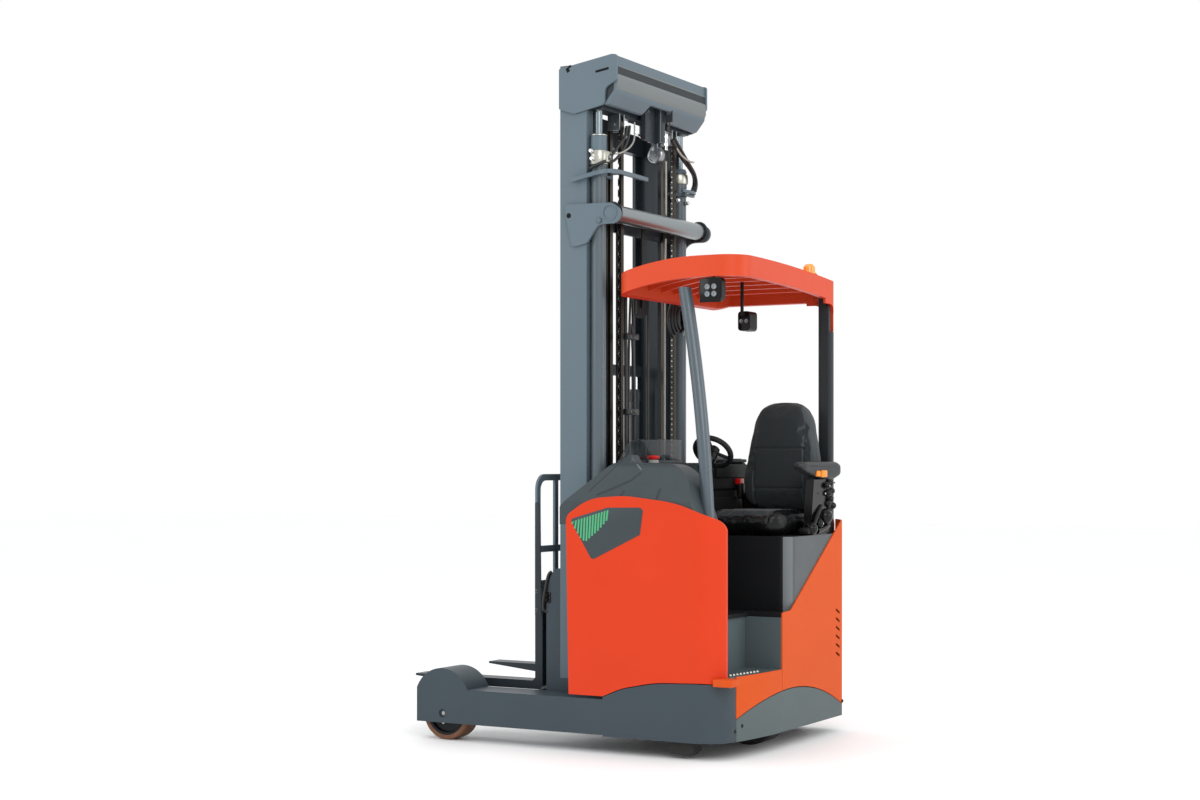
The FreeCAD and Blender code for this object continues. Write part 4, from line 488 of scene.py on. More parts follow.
def add_socket_screw(bm, at, axis, size, slot=0):
    """A round button head with its hexagon socket."""
    profile = [(size, 0.0), (size, size * 0.25), (size * 0.8, size * 0.55), (size * 0.5, size * 0.62),
               (size * 0.42, size * 0.62), (size * 0.42, size * 0.2), (0, size * 0.2)]
    add_lathe(bm, profile, at, axis, slot, 18)


# ---------------------------------------------------------------- seat

def pillow(bm, half_x, half_y, thick, across=36, along=36, edge=5.0, corner=0.35, taper=None):
    """A closed pad lying flat: crowned faces that pull in to a rounded rim."""
    def spot(i, j, sign):
        s, t = 2 * i / across - 1, 2 * j / along - 1
        pull = 1 - corner * 0.5 * abs(s) ** 4 * abs(t) ** 4
        width = half_x * (taper(t) if taper else 1.0)
        lift = ((1 - abs(s) ** edge) * (1 - abs(t) ** edge)) ** (1 / 2.2)
        return Vector((s * width * pull, t * half_y * pull, sign * thick / 2 * lift))
    grids = []
    for sign in (1, -1):
        grid = {}
        for i in range(across + 1):
            for j in range(along + 1):
                rim = i in (0, across) or j in (0, along)
                if rim and grids:
                    grid[i, j] = grids[0][i, j]
                else:
                    grid[i, j] = bm.verts.new(spot(i, j, sign))
        for i in range(across):
            for j in range(along):
                loop = [grid[i, j], grid[i + 1, j], grid[i + 1, j + 1], grid[i, j + 1]]
                bm.faces.new(loop if sign > 0 else loop[::-1])
        grids.append(grid)


def evaluated(obj):
    """The mesh of an object with its modifiers, as a new mesh."""
    graph = bpy.context.evaluated_depsgraph_get()
    return bpy.data.meshes.new_from_object(obj.evaluated_get(graph), depsgraph=graph)


def puff(obj, voxel, pressure, cap):
    """Fills a pad: remesh, cloth under pressure, then no point further out than the cap."""
    remesh = obj.modifiers.new("skin", "REMESH")
    remesh.mode = "VOXEL"
    remesh.voxel_size = voxel
    obj.data = evaluated(obj)
    obj.modifiers.clear()
    start = [vert.co.copy() for vert in obj.data.vertices]
    cloth = obj.modifiers.new("fill", "CLOTH")
    cloth.settings.use_pressure = True
    cloth.settings.uniform_pressure_force = pressure
    cloth.settings.effector_weights.gravity = 0.0
    cloth.settings.tension_stiffness = 40
    cloth.settings.compression_stiffness = 40
    for frame_number in range(1, 21):
        bpy.context.scene.frame_set(frame_number)
    ease = obj.modifiers.new("ease", "SMOOTH")
    ease.factor = 0.5
    ease.iterations = 5
    filled = evaluated(obj)
    obj.modifiers.clear()
    for vert, rest in zip(filled.vertices, start):
        move = vert.co - rest
        if move.length > cap:
            vert.co = rest + move.normalized() * cap
    obj.data = filled
    bpy.context.scene.frame_set(1)
    finer = obj.modifiers.new("finer", "SUBSURF")
    finer.levels = 1
    obj.data = evaluated(obj)
    obj.modifiers.clear()


def groove(mesh, distance, width, depth, facing=None):
    """Presses a sewn line: points near it move in along their normals."""
    moves = {}
    for vert in mesh.vertices:
        away = distance(vert.co)
        if away < width * 3 and (facing is None or vert.normal.dot(facing) > 0.15):
            moves[vert.index] = vert.normal * (-depth * math.exp(-(away / width) ** 2))
    for index, move in moves.items():
        mesh.vertices[index].co += move


def swell(mesh, amount):
    """Moves each point out along +Z of the pad by amount(x, y) on its upper face."""
    moves = [(vert.index, amount(vert.co)) for vert in mesh.vertices if vert.normal.z > 0.1]
    for index, lift in moves:
        mesh.vertices[index].co.z += lift


def seat_pad(name, half_x, half_y, thick, settings, channels, bolster, seam_top, taper=None):
    """A padded seat part lying flat, its middle in fabric between bolsters."""
    bm = bmesh.new()
    pillow(bm, half_x, half_y, thick, edge=8.0, taper=taper)
    bmesh.ops.recalc_face_normals(bm, faces=bm.faces)
    mesh = bpy.data.meshes.new(name)
    bm.to_mesh(mesh)
    bm.free()
    made = bpy.data.objects.new(name, mesh)
    bpy.context.scene.collection.objects.link(made)
    puff(made, settings.voxel_mm * MM, settings.pressure, settings.cap_mm * MM)
    mesh = made.data
    line = half_x * bolster
    swell(mesh, lambda p: settings.bolster_mm * MM * max(0.0, min(1.0, (abs(p.x) - line) / 0.03))
          * max(0.0, 1 - (abs(p.y) / (half_y * 0.98)) ** 6))
    up = Vector((0, 0, 1))
    groove(mesh, lambda p: abs(abs(p.x) - line) if p.y < seam_top else 1.0, 0.004,
           settings.seam_mm * MM, up)
    for place in channels:
        groove(mesh, lambda p, at=place: abs(p.y - at) if abs(p.x) < line else 1.0, 0.005,
               settings.seam_mm * MM, up)
    rim = thick * 0.18
    groove(mesh, lambda p: abs(p.z - rim) + 0.002, 0.0025, settings.seam_mm * MM * 0.5)
    mesh.materials.clear()
    for finish in ("seat_fabric", "seat_vinyl"):
        mesh.materials.append(FINISHES[finish])
    for face in mesh.polygons:
        middle = face.center
        inner = abs(middle.x) < line and face.normal.z > 0.2 and abs(middle.y) < half_y * 0.86
        face.material_index = 0 if inner else 1
    mesh.shade_smooth()
    return made


def bake_place(obj, matrix):
    """Puts an object's place in its mesh."""
    obj.data.transform(matrix)
    obj.data.update()


def make_seat(settings):
    """The cushion and the leaning back, in the room of their plain solids."""
    low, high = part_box("seat_cushion")
    reach = high - low
    shrink = settings.cap_mm * MM * 0.7
    cushion = seat_pad("seat_cushion_pad", reach.x / 2 - shrink, reach.y / 2 - shrink,
                       reach.z - shrink, settings, (-0.09, 0.05), 0.66, 1.0)
    bake_place(cushion, Matrix.Translation((low + high) / 2))
    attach(cushion, "chassis")
    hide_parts("seat_cushion")
    low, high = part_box("seat_back")
    height, wide = settings.back_height_mm * MM, high.x - low.x
    back = seat_pad("seat_back_pad", wide / 2 - shrink * 0.5, height / 2 - shrink * 0.5,
                    settings.back_thick_mm * MM - shrink, settings, (-0.156, 0.034), 0.62, 0.034,
                    taper=lambda t: 1.0 - 0.34 * max(0.0, (t + 0.45) / 1.45) ** 1.3)
    stand = Matrix(((1, 0, 0, 0), (0, 0, 1, 0), (0, 1, 0, 0), (0, 0, 0, 1)))
    lean = Matrix.Rotation(math.radians(settings.back_lean), 4, "X")
    bake_place(back, Matrix.Translation((low + high) / 2 + Vector((-0.032, -0.016, -0.006)))
               @ lean @ stand)
    back.data.flip_normals()
    back.data.materials.append(FINISHES["seat_side_fabric"])
    for face in back.data.polygons:
        face.material_index = 2 if face.normal.x < -0.55 else 0
    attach(back, "chassis")
    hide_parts("seat_back")

    def root(bm):
        add_box(bm, (-0.800, -0.500, 1.050), (-0.450, -0.440, 1.150), 0.015)
    piece("seat_back_root", root, "black_plastic")


def make_armrest():
    """The boat-shaped armrest, with the orange switch cap under its side."""
    low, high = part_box("armrest")
    low.y -= 0.050
    middle_x, half_x = (low.x + high.x) / 2 - 0.004, (high.x - low.x) / 2 + 0.004
    rings, around = 30, 28

    def section(bm, share):
        y = low.y + (high.y - low.y) * share
        nose = max(0.0, share - 0.35) / 0.65
        base = low.z + (high.z - low.z) * (0.62 * nose ** 1.6 + 0.3 * max(0.0, 0.2 - share) / 0.2)
        roof = high.z - (high.z - low.z) * 0.22 * max(0.0, 0.14 - share) / 0.14
        close = min(1.0, math.sin(math.pi * min(max(share, 0.012), 0.988)) * 4.5) ** 0.5
        centre, half_z = (base + roof) / 2, (roof - base) / 2 * close
        ring = []
        for k in range(around):
            angle = 2 * math.pi * k / around
            c, s = math.cos(angle), math.sin(angle)
            ring.append(bm.verts.new((
                middle_x + half_x * close * math.copysign(abs(c) ** 0.5, c), y,
                centre + half_z * math.copysign(abs(s) ** 0.55, s))))
        return ring

    def body(bm):
        loops = [section(bm, i / rings) for i in range(rings + 1)]
        bridge(bm, loops)
        bm.faces.new(loops[0])
        bm.faces.new(loops[-1][::-1])

    rest = piece("armrest_pad", body, "armrest_vinyl", smooth=60)
    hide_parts("armrest")

    def switches(bm):
        side = middle_x - half_x
        add_box(bm, (side - 0.007, -0.385, 1.216), (side + 0.010, -0.318, 1.250), 0.006)
        add_box(bm, (side - 0.006, -0.306, 1.220), (side + 0.008, -0.266, 1.248), 0.006)
    piece("armrest_switches", switches, "switch_orange")

    def seam(bm):
        side = middle_x - half_x
        run = [(side - 0.0008, low.y + 0.05, 1.268), (side - 0.0016, -0.40, 1.266),
               (side - 0.0008, -0.22, 1.270), (middle_x - half_x * 0.8, -0.15, 1.276)]
        add_tube(bm, smooth_run(run, 6), 0.0016, 0, 8)
    piece("armrest_seam", seam, "gloss_black")


def make_levers():
    """The glossy hydraulic levers, their balls and gaiters on the armrest's stand."""
    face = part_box("armrest_stand")[0].x - 0.002

    def balls(bm):
        for y, z, size in ((-0.404, 1.031, 0.040), (-0.246, 0.978, 0.031), (-0.330, 1.000, 0.024),
                           (-0.430, 1.092, 0.020)):
            add_lathe(bm, [(0.0, -size), (size * 0.5, -size * 0.87), (size * 0.87, -size * 0.5),
                           (size, 0.0), (size * 0.87, size * 0.5), (size * 0.5, size * 0.87),
                           (0.0, size)], (face + size * 0.15, y, z), (-0.3, 0.4, 1), 0, 28)
        for y, z in ((-0.452, 1.112), (-0.462, 1.150), (-0.424, 1.140), (-0.446, 1.186),
                     (-0.408, 1.176), (-0.478, 1.080)):
            add_lathe(bm, [(0.0, 0.0), (0.016, 0.0), (0.0175, 0.004), (0.012, 0.008), (0.0155, 0.012),
                           (0.010, 0.018), (0.0, 0.019)], (face, y, z), (-1, 0.15, 0.2), 0, 20)
        add_tube(bm, smooth_run([(face - 0.004, -0.246, 0.990), (face - 0.006, -0.276, 1.030),
                                 (face - 0.002, -0.318, 1.062), (face, -0.350, 1.080)], 5),
                 0.011, 0, 14)
        add_tube(bm, smooth_run([(face, -0.300, 0.966), (face - 0.002, -0.36, 0.972),
                                 (face, -0.43, 0.990)], 5), 0.014, 0, 14)
    piece("lever_cluster", balls, "gloss_black")

    def bits(bm):
        for y, z, size in ((-0.452, 1.112, 0.004), (-0.356, 1.140, 0.005), (-0.470, 1.190, 0.004),
                           (-0.408, 1.176, 0.004), (-0.246, 0.978, 0.005), (-0.330, 1.000, 0.004)):
            add_rod(bm, (face - 0.014, y, z), (face - 0.021, y, z), size, 0, 12, 0.001)
    piece("lever_bits", bits, "chrome")

    def housing(bm):
        add_box(bm, (-0.8995, -0.455, 0.950), (-0.842, -0.200, 0.985), 0.014)
    piece("lever_housing", housing, "black_plastic")


def make_controls():
    """The console's pad, screen and connector, and the steering wheel's knob and column trim."""
    def pad(bm):
        add_box(bm, (-0.422, -0.59, 1.212), (-0.404, -0.215, 1.276), 0.008)
        add_box(bm, (-0.408, -0.12, 0.72), (-0.396, 0.36, 1.12), 0.005)
        add_box(bm, (-0.408, -0.56, 0.72), (-0.396, -0.18, 1.12), 0.005)
        add_box(bm, (-0.400, -0.59, 1.286), (-0.352, -0.215, 1.302), 0.006)
    piece("console_pads", pad, "console_plastic")

    def screen(bm):
        add_box(bm, (-0.394, -0.54, 1.301), (-0.358, -0.40, 1.305), 0.001)
    piece("console_screen", screen, "panel_dark")

    def plug(bm):
        add_box(bm, (-0.432, -0.490, 1.180), (-0.404, -0.440, 1.208), 0.005)
    piece("battery_plug", plug, "stop_red")

    def cable(bm):
        run = smooth_run([(-0.420, -0.465, 1.184), (-0.432, -0.468, 1.15), (-0.430, -0.49, 1.11),
                          (-0.422, -0.51, 1.05), (-0.414, -0.52, 0.98)], 5)
        add_tube(bm, run, 0.010, 0, 12)
        add_lathe(bm, [(0.0, 0.0), (0.020, 0.0), (0.019, 0.05), (0.011, 0.075), (0.0, 0.076)],
                  (-0.423, -0.466, 1.184), (0, 0, -1), 0, 20)
    piece("battery_plug_cable", cable, "hose_rubber")

    def knob(bm):
        hub, axis, side, up = wheel_frame()
        at = hub + side * 0.045 + up * -0.058
        add_rod(bm, at, at + axis * 0.024, 0.007, 1, 14)
        add_lathe(bm, [(0.0, 0.0), (0.014, 0.002), (0.021, 0.012), (0.021, 0.026), (0.013, 0.036),
                       (0.0, 0.038)], at + axis * 0.022, axis, 0, 24)
        add_lathe(bm, [(0.0, 0.0), (0.027, 0.0), (0.027, 0.005), (0.022, 0.010), (0.0, 0.012)],
                  hub + axis * 0.013, axis, 0, 32)
    piece("steering_knob", knob, ("gloss_black", "steel"), body="steering")

    def column(bm):
        hub, axis, _, _ = wheel_frame()
        foot = hub - axis * 0.021
        add_lathe(bm, [(0.025, 0.0), (0.030, -0.004), (0.032, -0.03), (0.029, -0.034),
                       (0.033, -0.04), (0.036, -0.09), (0.025, -0.094)], foot, axis, 0, 32)
        add_rod(bm, foot + Vector((0.03, 0.0, -0.03)), foot + Vector((0.065, 0.0, -0.028)), 0.006,
                1, 14, 0.002)
    piece("steering_column_boot", column, ("gloss_black", "steel"))


def wheel_frame():
    """The steering wheel's hub, its axis and two ways across it."""
    low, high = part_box("steering_wheel")
    hub = (low + high) / 2
    angle = math.radians(42)
    axis = Vector((0, -math.cos(angle), math.sin(angle)))
    side = Vector((1, 0, 0))
    return hub, axis, side, axis.cross(side)


class SeatSettings(bpy.types.PropertyGroup):
    """The seat's padding."""
    voxel_mm: bpy.props.FloatProperty(
        name="Voxel", description="Size of the skin's cells, millimetres", default=7.0)
    pressure: bpy.props.FloatProperty(
        name="Pressure", description="Fill pressure of the pads", default=2.5)
    cap_mm: bpy.props.FloatProperty(
        name="Cap", description="Furthest that a point may swell, millimetres", default=12.0)
    seam_mm: bpy.props.FloatProperty(
        name="Seam", description="Depth of a sewn line, millimetres", default=7.0)
    bolster_mm: bpy.props.FloatProperty(
        name="Bolster", description="Rise of the side bolsters, millimetres", default=10.0)
    back_height_mm: bpy.props.FloatProperty(
        name="Back height", description="Height of the seat back, millimetres", default=532.0)
    back_thick_mm: bpy.props.FloatProperty(
        name="Back thickness", description="Thickness of the seat back, millimetres", default=136.0)
    back_lean: bpy.props.FloatProperty(
        name="Lean", description="Lean of the seat back, degrees", default=3.0)


class REACH_OT_seat(bpy.types.Operator):
    """Pads the seat's cushion and back"""
    bl_idname = "reach_truck.seat"
    bl_label = "Seat"

    def execute(self, context):
        make_seat(context.scene.reach_seat)
        return {"FINISHED"}


class REACH_OT_controls(bpy.types.Operator):
    """Adds the armrest, levers, console pads and steering details"""
    bl_idname = "reach_truck.controls"
    bl_label = "Controls"

    def execute(self, context):
        make_armrest()
        make_levers()
        make_controls()
        return {"FINISHED"}


# ---------------------------------------------------------------- mast

CHAIN_SIDE = 0.262
BARREL = Vector((-0.1225, 0.400, 0.0))
TIE_X, TIE_Z, TIE_RADIUS = -0.2115, 2.414, 0.040
LOAD_AXLE_X, LOAD_AXLE_Z = 0.5755, 0.125


def add_ribbon(bm, points, deep, tall, slot=0):
    """A flat bar along a run of points, deep across it and tall upright."""
    points = [Vector(point) for point in points]
    rings = []
    for i, point in enumerate(points):
        way = points[min(i + 1, len(points) - 1)] - points[max(i - 1, 0)]
        across = Vector((-way.y, way.x, 0)).normalized() * deep / 2
        rise = Vector((0, 0, tall / 2))
        rings.append([bm.verts.new(point + across * a + rise * b)
                      for a, b in ((1, 1), (-1, 1), (-1, -1), (1, -1))])
    bridge(bm, rings, slot)
    cap_ends(bm, rings, slot)


def link_outline(pitch, width, steps=5):
    """One chain plate's outline, two round ends with a waist, as (along, across) pairs."""
    out = []
    for end in (1, -1):
        for k in range(steps + 1):
            angle = math.radians(-75 + 150 * k / steps)
            out.append((end * (pitch / 2 + math.cos(angle) * width / 2),
                        end * math.sin(angle) * width / 2))
    return out


def make_chains(settings):
    """Link plates and pin heads along both faces of the two lift chains."""
    pitch = settings.chain_pitch * MM
    low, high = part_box("lift_chains")
    count = int((high.z - low.z - 0.10) / pitch)
    half = 0.0136

    def links(bm):
        outline = link_outline(pitch * 0.94, pitch * 0.62)
        for sign in (1, -1):
            for k in range(count):
                z = low.z + 0.05 + pitch * k
                for face in (1, -1):
                    y = sign * CHAIN_SIDE + face * half
                    if k % 2 == 0:
                        add_plate(bm, [(low.x + 0.0085 + a, z + u) for u, a in outline], "y",
                                  y - 0.0012, y + 0.0012)
                    add_rod(bm, (low.x + 0.0085, y - 0.0022, z + pitch / 2),
                            (low.x + 0.0085, y + 0.0022, z + pitch / 2), 0.0034, 1, 8)
                for cell in range(4):
                    shift = (0.5 if cell % 2 else 0.0) * pitch
                    middle = sign * CHAIN_SIDE + (cell - 1.5) * 0.0062
                    add_box(bm, (low.x - 0.0008, middle - 0.0021, z + shift - pitch * 0.42),
                            (low.x + 0.002, middle + 0.0021, z + shift + pitch * 0.42))
    piece("chain_links", links, ("chain_steel", "zinc"), body="mast_middle", smooth=40)


def make_cylinder_heads():
    """The collars, valve block, knobs and hose ends on the outer lift cylinders' heads."""
    left, right = BARREL, Vector((BARREL.x, -BARREL.y, 0))

    def at(side, z):
        return Vector((side.x, side.y, z))

    def sleeves(bm):
        add_lathe(bm, [(0.0185, 0.0), (0.037, 0.0), (0.037, 0.070), (0.0345, 0.078), (0.0185, 0.078)],
                  at(left, 2.702), (0, 0, 1), 0, 40)
        add_lathe(bm, [(0.0185, 0.0), (0.036, 0.0), (0.036, 0.012), (0.030, 0.022), (0.0185, 0.022)],
                  at(right, 2.701), (0, 0, 1), 0, 40)
    piece("cylinder_glands", sleeves, "mast_paint", body="reach")

    def blocks(bm):
        for side, z, tall in ((left, 2.640, 0.064), (right, 2.648, 0.048)):
            add_lathe(bm, [(0.0342, 0.0), (0.0415, 0.002), (0.043, 0.006), (0.043, tall - 0.006),
                           (0.041, tall), (0.0342, tall)], at(side, z), (0, 0, 1), 0, 40)
        add_lathe(bm, [(0.0375, 0.0), (0.0390, 0.001), (0.0390, 0.005), (0.0375, 0.006)],
                  at(left, 2.772), (0, 0, 1), 0, 40)
        add_box(bm, left + Vector((-0.060, -0.020, 2.648)), left + Vector((-0.036, 0.026, 2.698)),
                0.004)
        add_rod(bm, left + Vector((-0.060, 0.010, 2.672)), left + Vector((-0.068, 0.010, 2.672)),
                0.007, 1, 6)
    piece("cylinder_collars", blocks, ("zinc", "steel"), body="reach")

    def knobs(bm):
        spots = [(left + Vector((0.010, 0.043, 2.700)), (0, 1, 0), 0.011),
                 (left + Vector((0.004, 0.043, 2.664)), (0, 1, 0), 0.012),
                 (right + Vector((-0.034, 0.010, 2.611)), (-1, 0.2, 0), 0.011),
                 (right + Vector((-0.034, 0.004, 2.554)), (-1, 0.1, 0), 0.012),
                 (Vector((-0.168, -0.285, 2.556)), (-1, 0.4, 0), 0.010)]
        for spot, axis, size in spots:
            add_rod(bm, spot, spot + Vector(axis).normalized() * size * 0.9, size, 0, 6, 0.0015)
            add_lathe(bm, [(size * 0.7, 0.0), (size * 0.7, size * 0.8), (size * 0.5, size),
                           (0.0, size)], spot + Vector(axis).normalized() * size * 0.9, axis, 0, 20)
    piece("cylinder_plugs", knobs, "chrome", body="reach")

    def clamp(bm):
        run = [(-0.020, 0.4665, 2.570), (-0.080, 0.4665, 2.582), (-0.135, 0.462, 2.594),
               (-0.172, 0.443, 2.603), (-0.190, 0.405, 2.609), (-0.194, 0.35, 2.612),
               (-0.195, 0.22, 2.612), (-0.193, 0.07, 2.610)]
        add_ribbon(bm, smooth_run(run, 5), 0.018, 0.018)
        for spot in ((-0.160, 0.335, 2.604), (-0.160, 0.432, 2.604)):
            add_box(bm, Vector(spot) - Vector((0.030, 0.008, 0.003)),
                    Vector(spot) + Vector((0.012, 0.008, 0.003)), 0.001)
        run = [(-0.075, -0.466, 2.606), (-0.135, -0.466, 2.606), (-0.176, -0.450, 2.606),
               (-0.194, -0.410, 2.606), (-0.196, -0.350, 2.606), (-0.190, -0.300, 2.604)]
        add_ribbon(bm, smooth_run(run, 5), 0.016, 0.012)
        add_box(bm, (-0.180, -0.455, 2.588), (-0.162, -0.350, 2.600), 0.002)
    piece("hose_clamp_bars", clamp, "mast_paint", body="reach")


def make_mast_hoses():
    """The hoses and thin cables that loop about the mast's top and run down its middle."""
    def hoses(bm):
        runs = [
            ([(-0.108, 0.452, 2.620), (-0.140, 0.450, 2.634), (-0.172, 0.420, 2.655),
              (-0.186, 0.388, 2.686), (-0.188, 0.320, 2.742), (-0.186, 0.266, 2.785),
              (-0.182, 0.244, 2.835)], 0.0075),
            ([(-0.176, 0.410, 2.648), (-0.190, 0.372, 2.662), (-0.196, 0.310, 2.712),
              (-0.192, 0.250, 2.778), (-0.186, 0.222, 2.840)], 0.0065),
            ([(-0.186, -0.200, 2.835), (-0.192, -0.240, 2.795), (-0.194, -0.310, 2.752),
              (-0.192, -0.385, 2.718), (-0.184, -0.440, 2.690), (-0.172, -0.466, 2.654),
              (-0.162, -0.462, 2.620), (-0.160, -0.452, 2.602)], 0.0105),
            ([(-0.186, -0.222, 2.850), (-0.200, -0.262, 2.800), (-0.206, -0.330, 2.744),
              (-0.202, -0.405, 2.700), (-0.194, -0.444, 2.655), (-0.190, -0.438, 2.615)], 0.008),
            ([(-0.166, 0.222, 1.15), (-0.166, 0.222, 1.70), (-0.162, 0.218, 2.06),
              (-0.160, 0.200, 2.13), (-0.160, 0.160, 2.15), (-0.160, 0.128, 2.10),
              (-0.158, 0.118, 1.98)], 0.009),
            ([(-0.166, 0.140, 1.15), (-0.166, 0.142, 1.60), (-0.162, 0.152, 1.86),
              (-0.160, 0.168, 1.93)], 0.008),
            ([(-0.166, 0.196, 1.15), (-0.168, 0.198, 1.75), (-0.168, 0.184, 2.02),
              (-0.160, 0.160, 2.10)], 0.006),
        ]
        add_runs(bm, runs, 7, 12)
        for z in (1.52, 1.87):
            add_box(bm, (-0.184, 0.126, z - 0.014), (-0.150, 0.236, z + 0.014), 0.003, 1)
            for y in (0.169, 0.209):
                add_bolt(bm, (-0.184, y, z), (-1, 0, 0), 0.006, 2)
    piece("mast_hose_runs", hoses, ("hose_rubber", "stage_paint", "zinc"), body="reach")

    def coils(bm):
        for k in range(4):
            tilt = 0.06 * k
            loop = [(-0.182 - 0.010 * k, -0.245 + (0.070 - 0.012 * k) * math.cos(a),
                     1.975 + (0.088 - 0.012 * k) * math.sin(a + tilt))
                    for a in (math.radians(-70 + 290 * j / 22) for j in range(23))]
            add_tube(bm, loop, 0.0085, 0, 10)
        add_box(bm, (-0.190, -0.275, 1.93), (-0.174, -0.215, 2.03), 0.004, 1)
        for y, z in ((-0.262, 2.018), (-0.228, 1.945)):
            add_bolt(bm, (-0.190, y, z), (-1, 0, 0), 0.006, 2)
    piece("hose_coils", coils, ("hose_rubber", "stage_paint", "zinc"), body="reach")

    def cables(bm):
        runs = [
            ([(-0.182, 0.398, 2.690), (-0.196, 0.352, 2.694), (-0.200, 0.300, 2.712),
              (-0.198, 0.240, 2.740), (-0.190, 0.186, 2.785), (-0.184, 0.172, 2.865)], 0.0038),
            ([(-0.186, -0.140, 2.725), (-0.186, -0.140, 2.49), (-0.186, -0.140, 2.47)], 0.0042),
            ([(-0.184, -0.140, 2.355), (-0.180, -0.141, 2.10), (-0.178, -0.142, 1.60),
              (-0.178, -0.142, 1.20)], 0.0042),
            ([(-0.200, -0.290, 1.90), (-0.206, -0.310, 1.96), (-0.206, -0.300, 2.03),
              (-0.200, -0.262, 2.075)], 0.0042),
            ([(-0.196, -0.228, 2.800), (-0.206, -0.270, 2.766), (-0.214, -0.330, 2.748),
              (-0.206, -0.390, 2.752)], 0.005),
        ]
        add_runs(bm, runs, 6, 10)
    piece("mast_cables", cables, "cable_grey", body="reach")


def make_middle_head():
    """The roller, hook and chain anchors at the middle mast's top."""
    def parts(bm):
        spot = Vector((-0.1315, -0.140, 2.759))
        add_lathe(bm, [(0.0, -0.017), (0.030, -0.017), (0.0405, -0.013), (0.0405, 0.013),
                       (0.034, 0.017), (0.030, 0.0135), (0.012, 0.0135), (0.010, 0.019),
                       (0.0, 0.019)], spot, (0, 1, 0), 0, 40)
        add_box(bm, (-0.148, -0.133, 2.775), (-0.115, -0.118, 2.884), 0.003, 1)
        add_box(bm, (-0.148, -0.162, 2.775), (-0.115, -0.158, 2.884), 0.001, 1)
        hook = [(-0.140, 0.082, 2.836), (-0.158, 0.066, 2.815), (-0.166, 0.030, 2.804),
                (-0.166, -0.030, 2.802), (-0.158, -0.062, 2.812), (-0.140, -0.076, 2.832)]
        add_tube(bm, smooth_run(hook, 6), 0.0055, 2, 10)
        for y in (0.186, 0.203, 0.219, -0.200, -0.216):
            add_rod(bm, (-0.150, y, 2.790), (-0.150, y, 2.874), 0.0050, 2, 12)
            add_rod(bm, (-0.150, y, 2.812), (-0.150, y, 2.824), 0.0078, 2, 6)
            add_rod(bm, (-0.150, y, 2.850), (-0.150, y, 2.858), 0.0078, 2, 6)
        add_rod(bm, (-0.150, -0.322, 2.790), (-0.150, -0.322, 2.874), 0.012, 2, 16, 0.002)
        for y in (0.202, -0.208):
            add_box(bm, (-0.156, y - 0.026, 2.870), (-0.112, y + 0.026, 2.880), 0.001, 1)
    piece("middle_mast_fittings", parts, ("steel", "mast_paint", "chrome"), body="mast_middle")


def make_mast_marks():
    """Black sheets of painted shade where the mast's side plates have slots and a round hole, and the
    tie tube's ends.
    """
    head_high, tie_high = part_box("mast_head")[1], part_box("mast_tie")[1]

    def marks(bm):
        for side in (1, -1):
            y = side * head_high.y
            inner, outer = sorted((y - side * 0.001, y + side * 0.0012))
            # Black sheets of painted shade where the side plates have slots.
            add_plate(bm, [(-0.138, 3.060), (-0.205, 3.070), (-0.208, 3.060), (-0.140, 3.050)], "y",
                      inner, outer)
            add_plate(bm, [(-0.006, 3.100), (0.018, 3.082), (0.010, 3.064), (-0.004, 3.072),
                           (0.002, 3.084), (-0.012, 3.090)], "y", inner, outer)
            y = side * tie_high.y
            add_lathe(bm, [(0.0, 0.0), (0.0115, 0.0), (0.0115, side * 0.0012), (0.0, side * 0.0012)],
                      (0.002, y, 2.412), (0, 1, 0), 0, 20)
    piece("mast_slot_shade_sheets", marks, "dark_void", body="reach")

    def ends(bm):
        for side in (1, -1):
            y = side * tie_high.y
            spot = Vector((TIE_X, y - side * 0.001, TIE_Z))
            add_lathe(bm, [(0.030, 0.0), (0.0395, 0.0), (0.0385, 0.004), (0.031, 0.0045)], spot,
                      (0, side, 0), 0, 40)
            add_rod(bm, spot + Vector((0.052, 0, -0.034)),
                    spot + Vector((0.052, side * 0.009, -0.034)), 0.013, 1, 6, 0.001)
            add_lathe(bm, [(0.0405, 0.0), (0.052, 0.0), (0.050, 0.010), (0.0405, 0.010)],
                      (TIE_X, side * 0.433, TIE_Z), (0, -side, 0), 1, 40)
    piece("mast_tie_ends", ends, ("mast_paint", "dark_paint"), body="reach")


class MastSettings(bpy.types.PropertyGroup):
    """The mast's chain detail."""
    chain_pitch: bpy.props.FloatProperty(
        name="Chain pitch", description="Distance between the chain's pins, millimetres",
        default=25.4)


class REACH_OT_mast(bpy.types.Operator):
    """Adds chain links, cylinder heads, hoses and marks on the mast"""
    bl_idname = "reach_truck.mast"
    bl_label = "Mast"

    def execute(self, context):
        make_chains(context.scene.reach_mast)
        make_cylinder_heads()
        make_mast_hoses()
        make_middle_head()
        make_mast_marks()
        return {"FINISHED"}


# ---------------------------------------------------------------- body

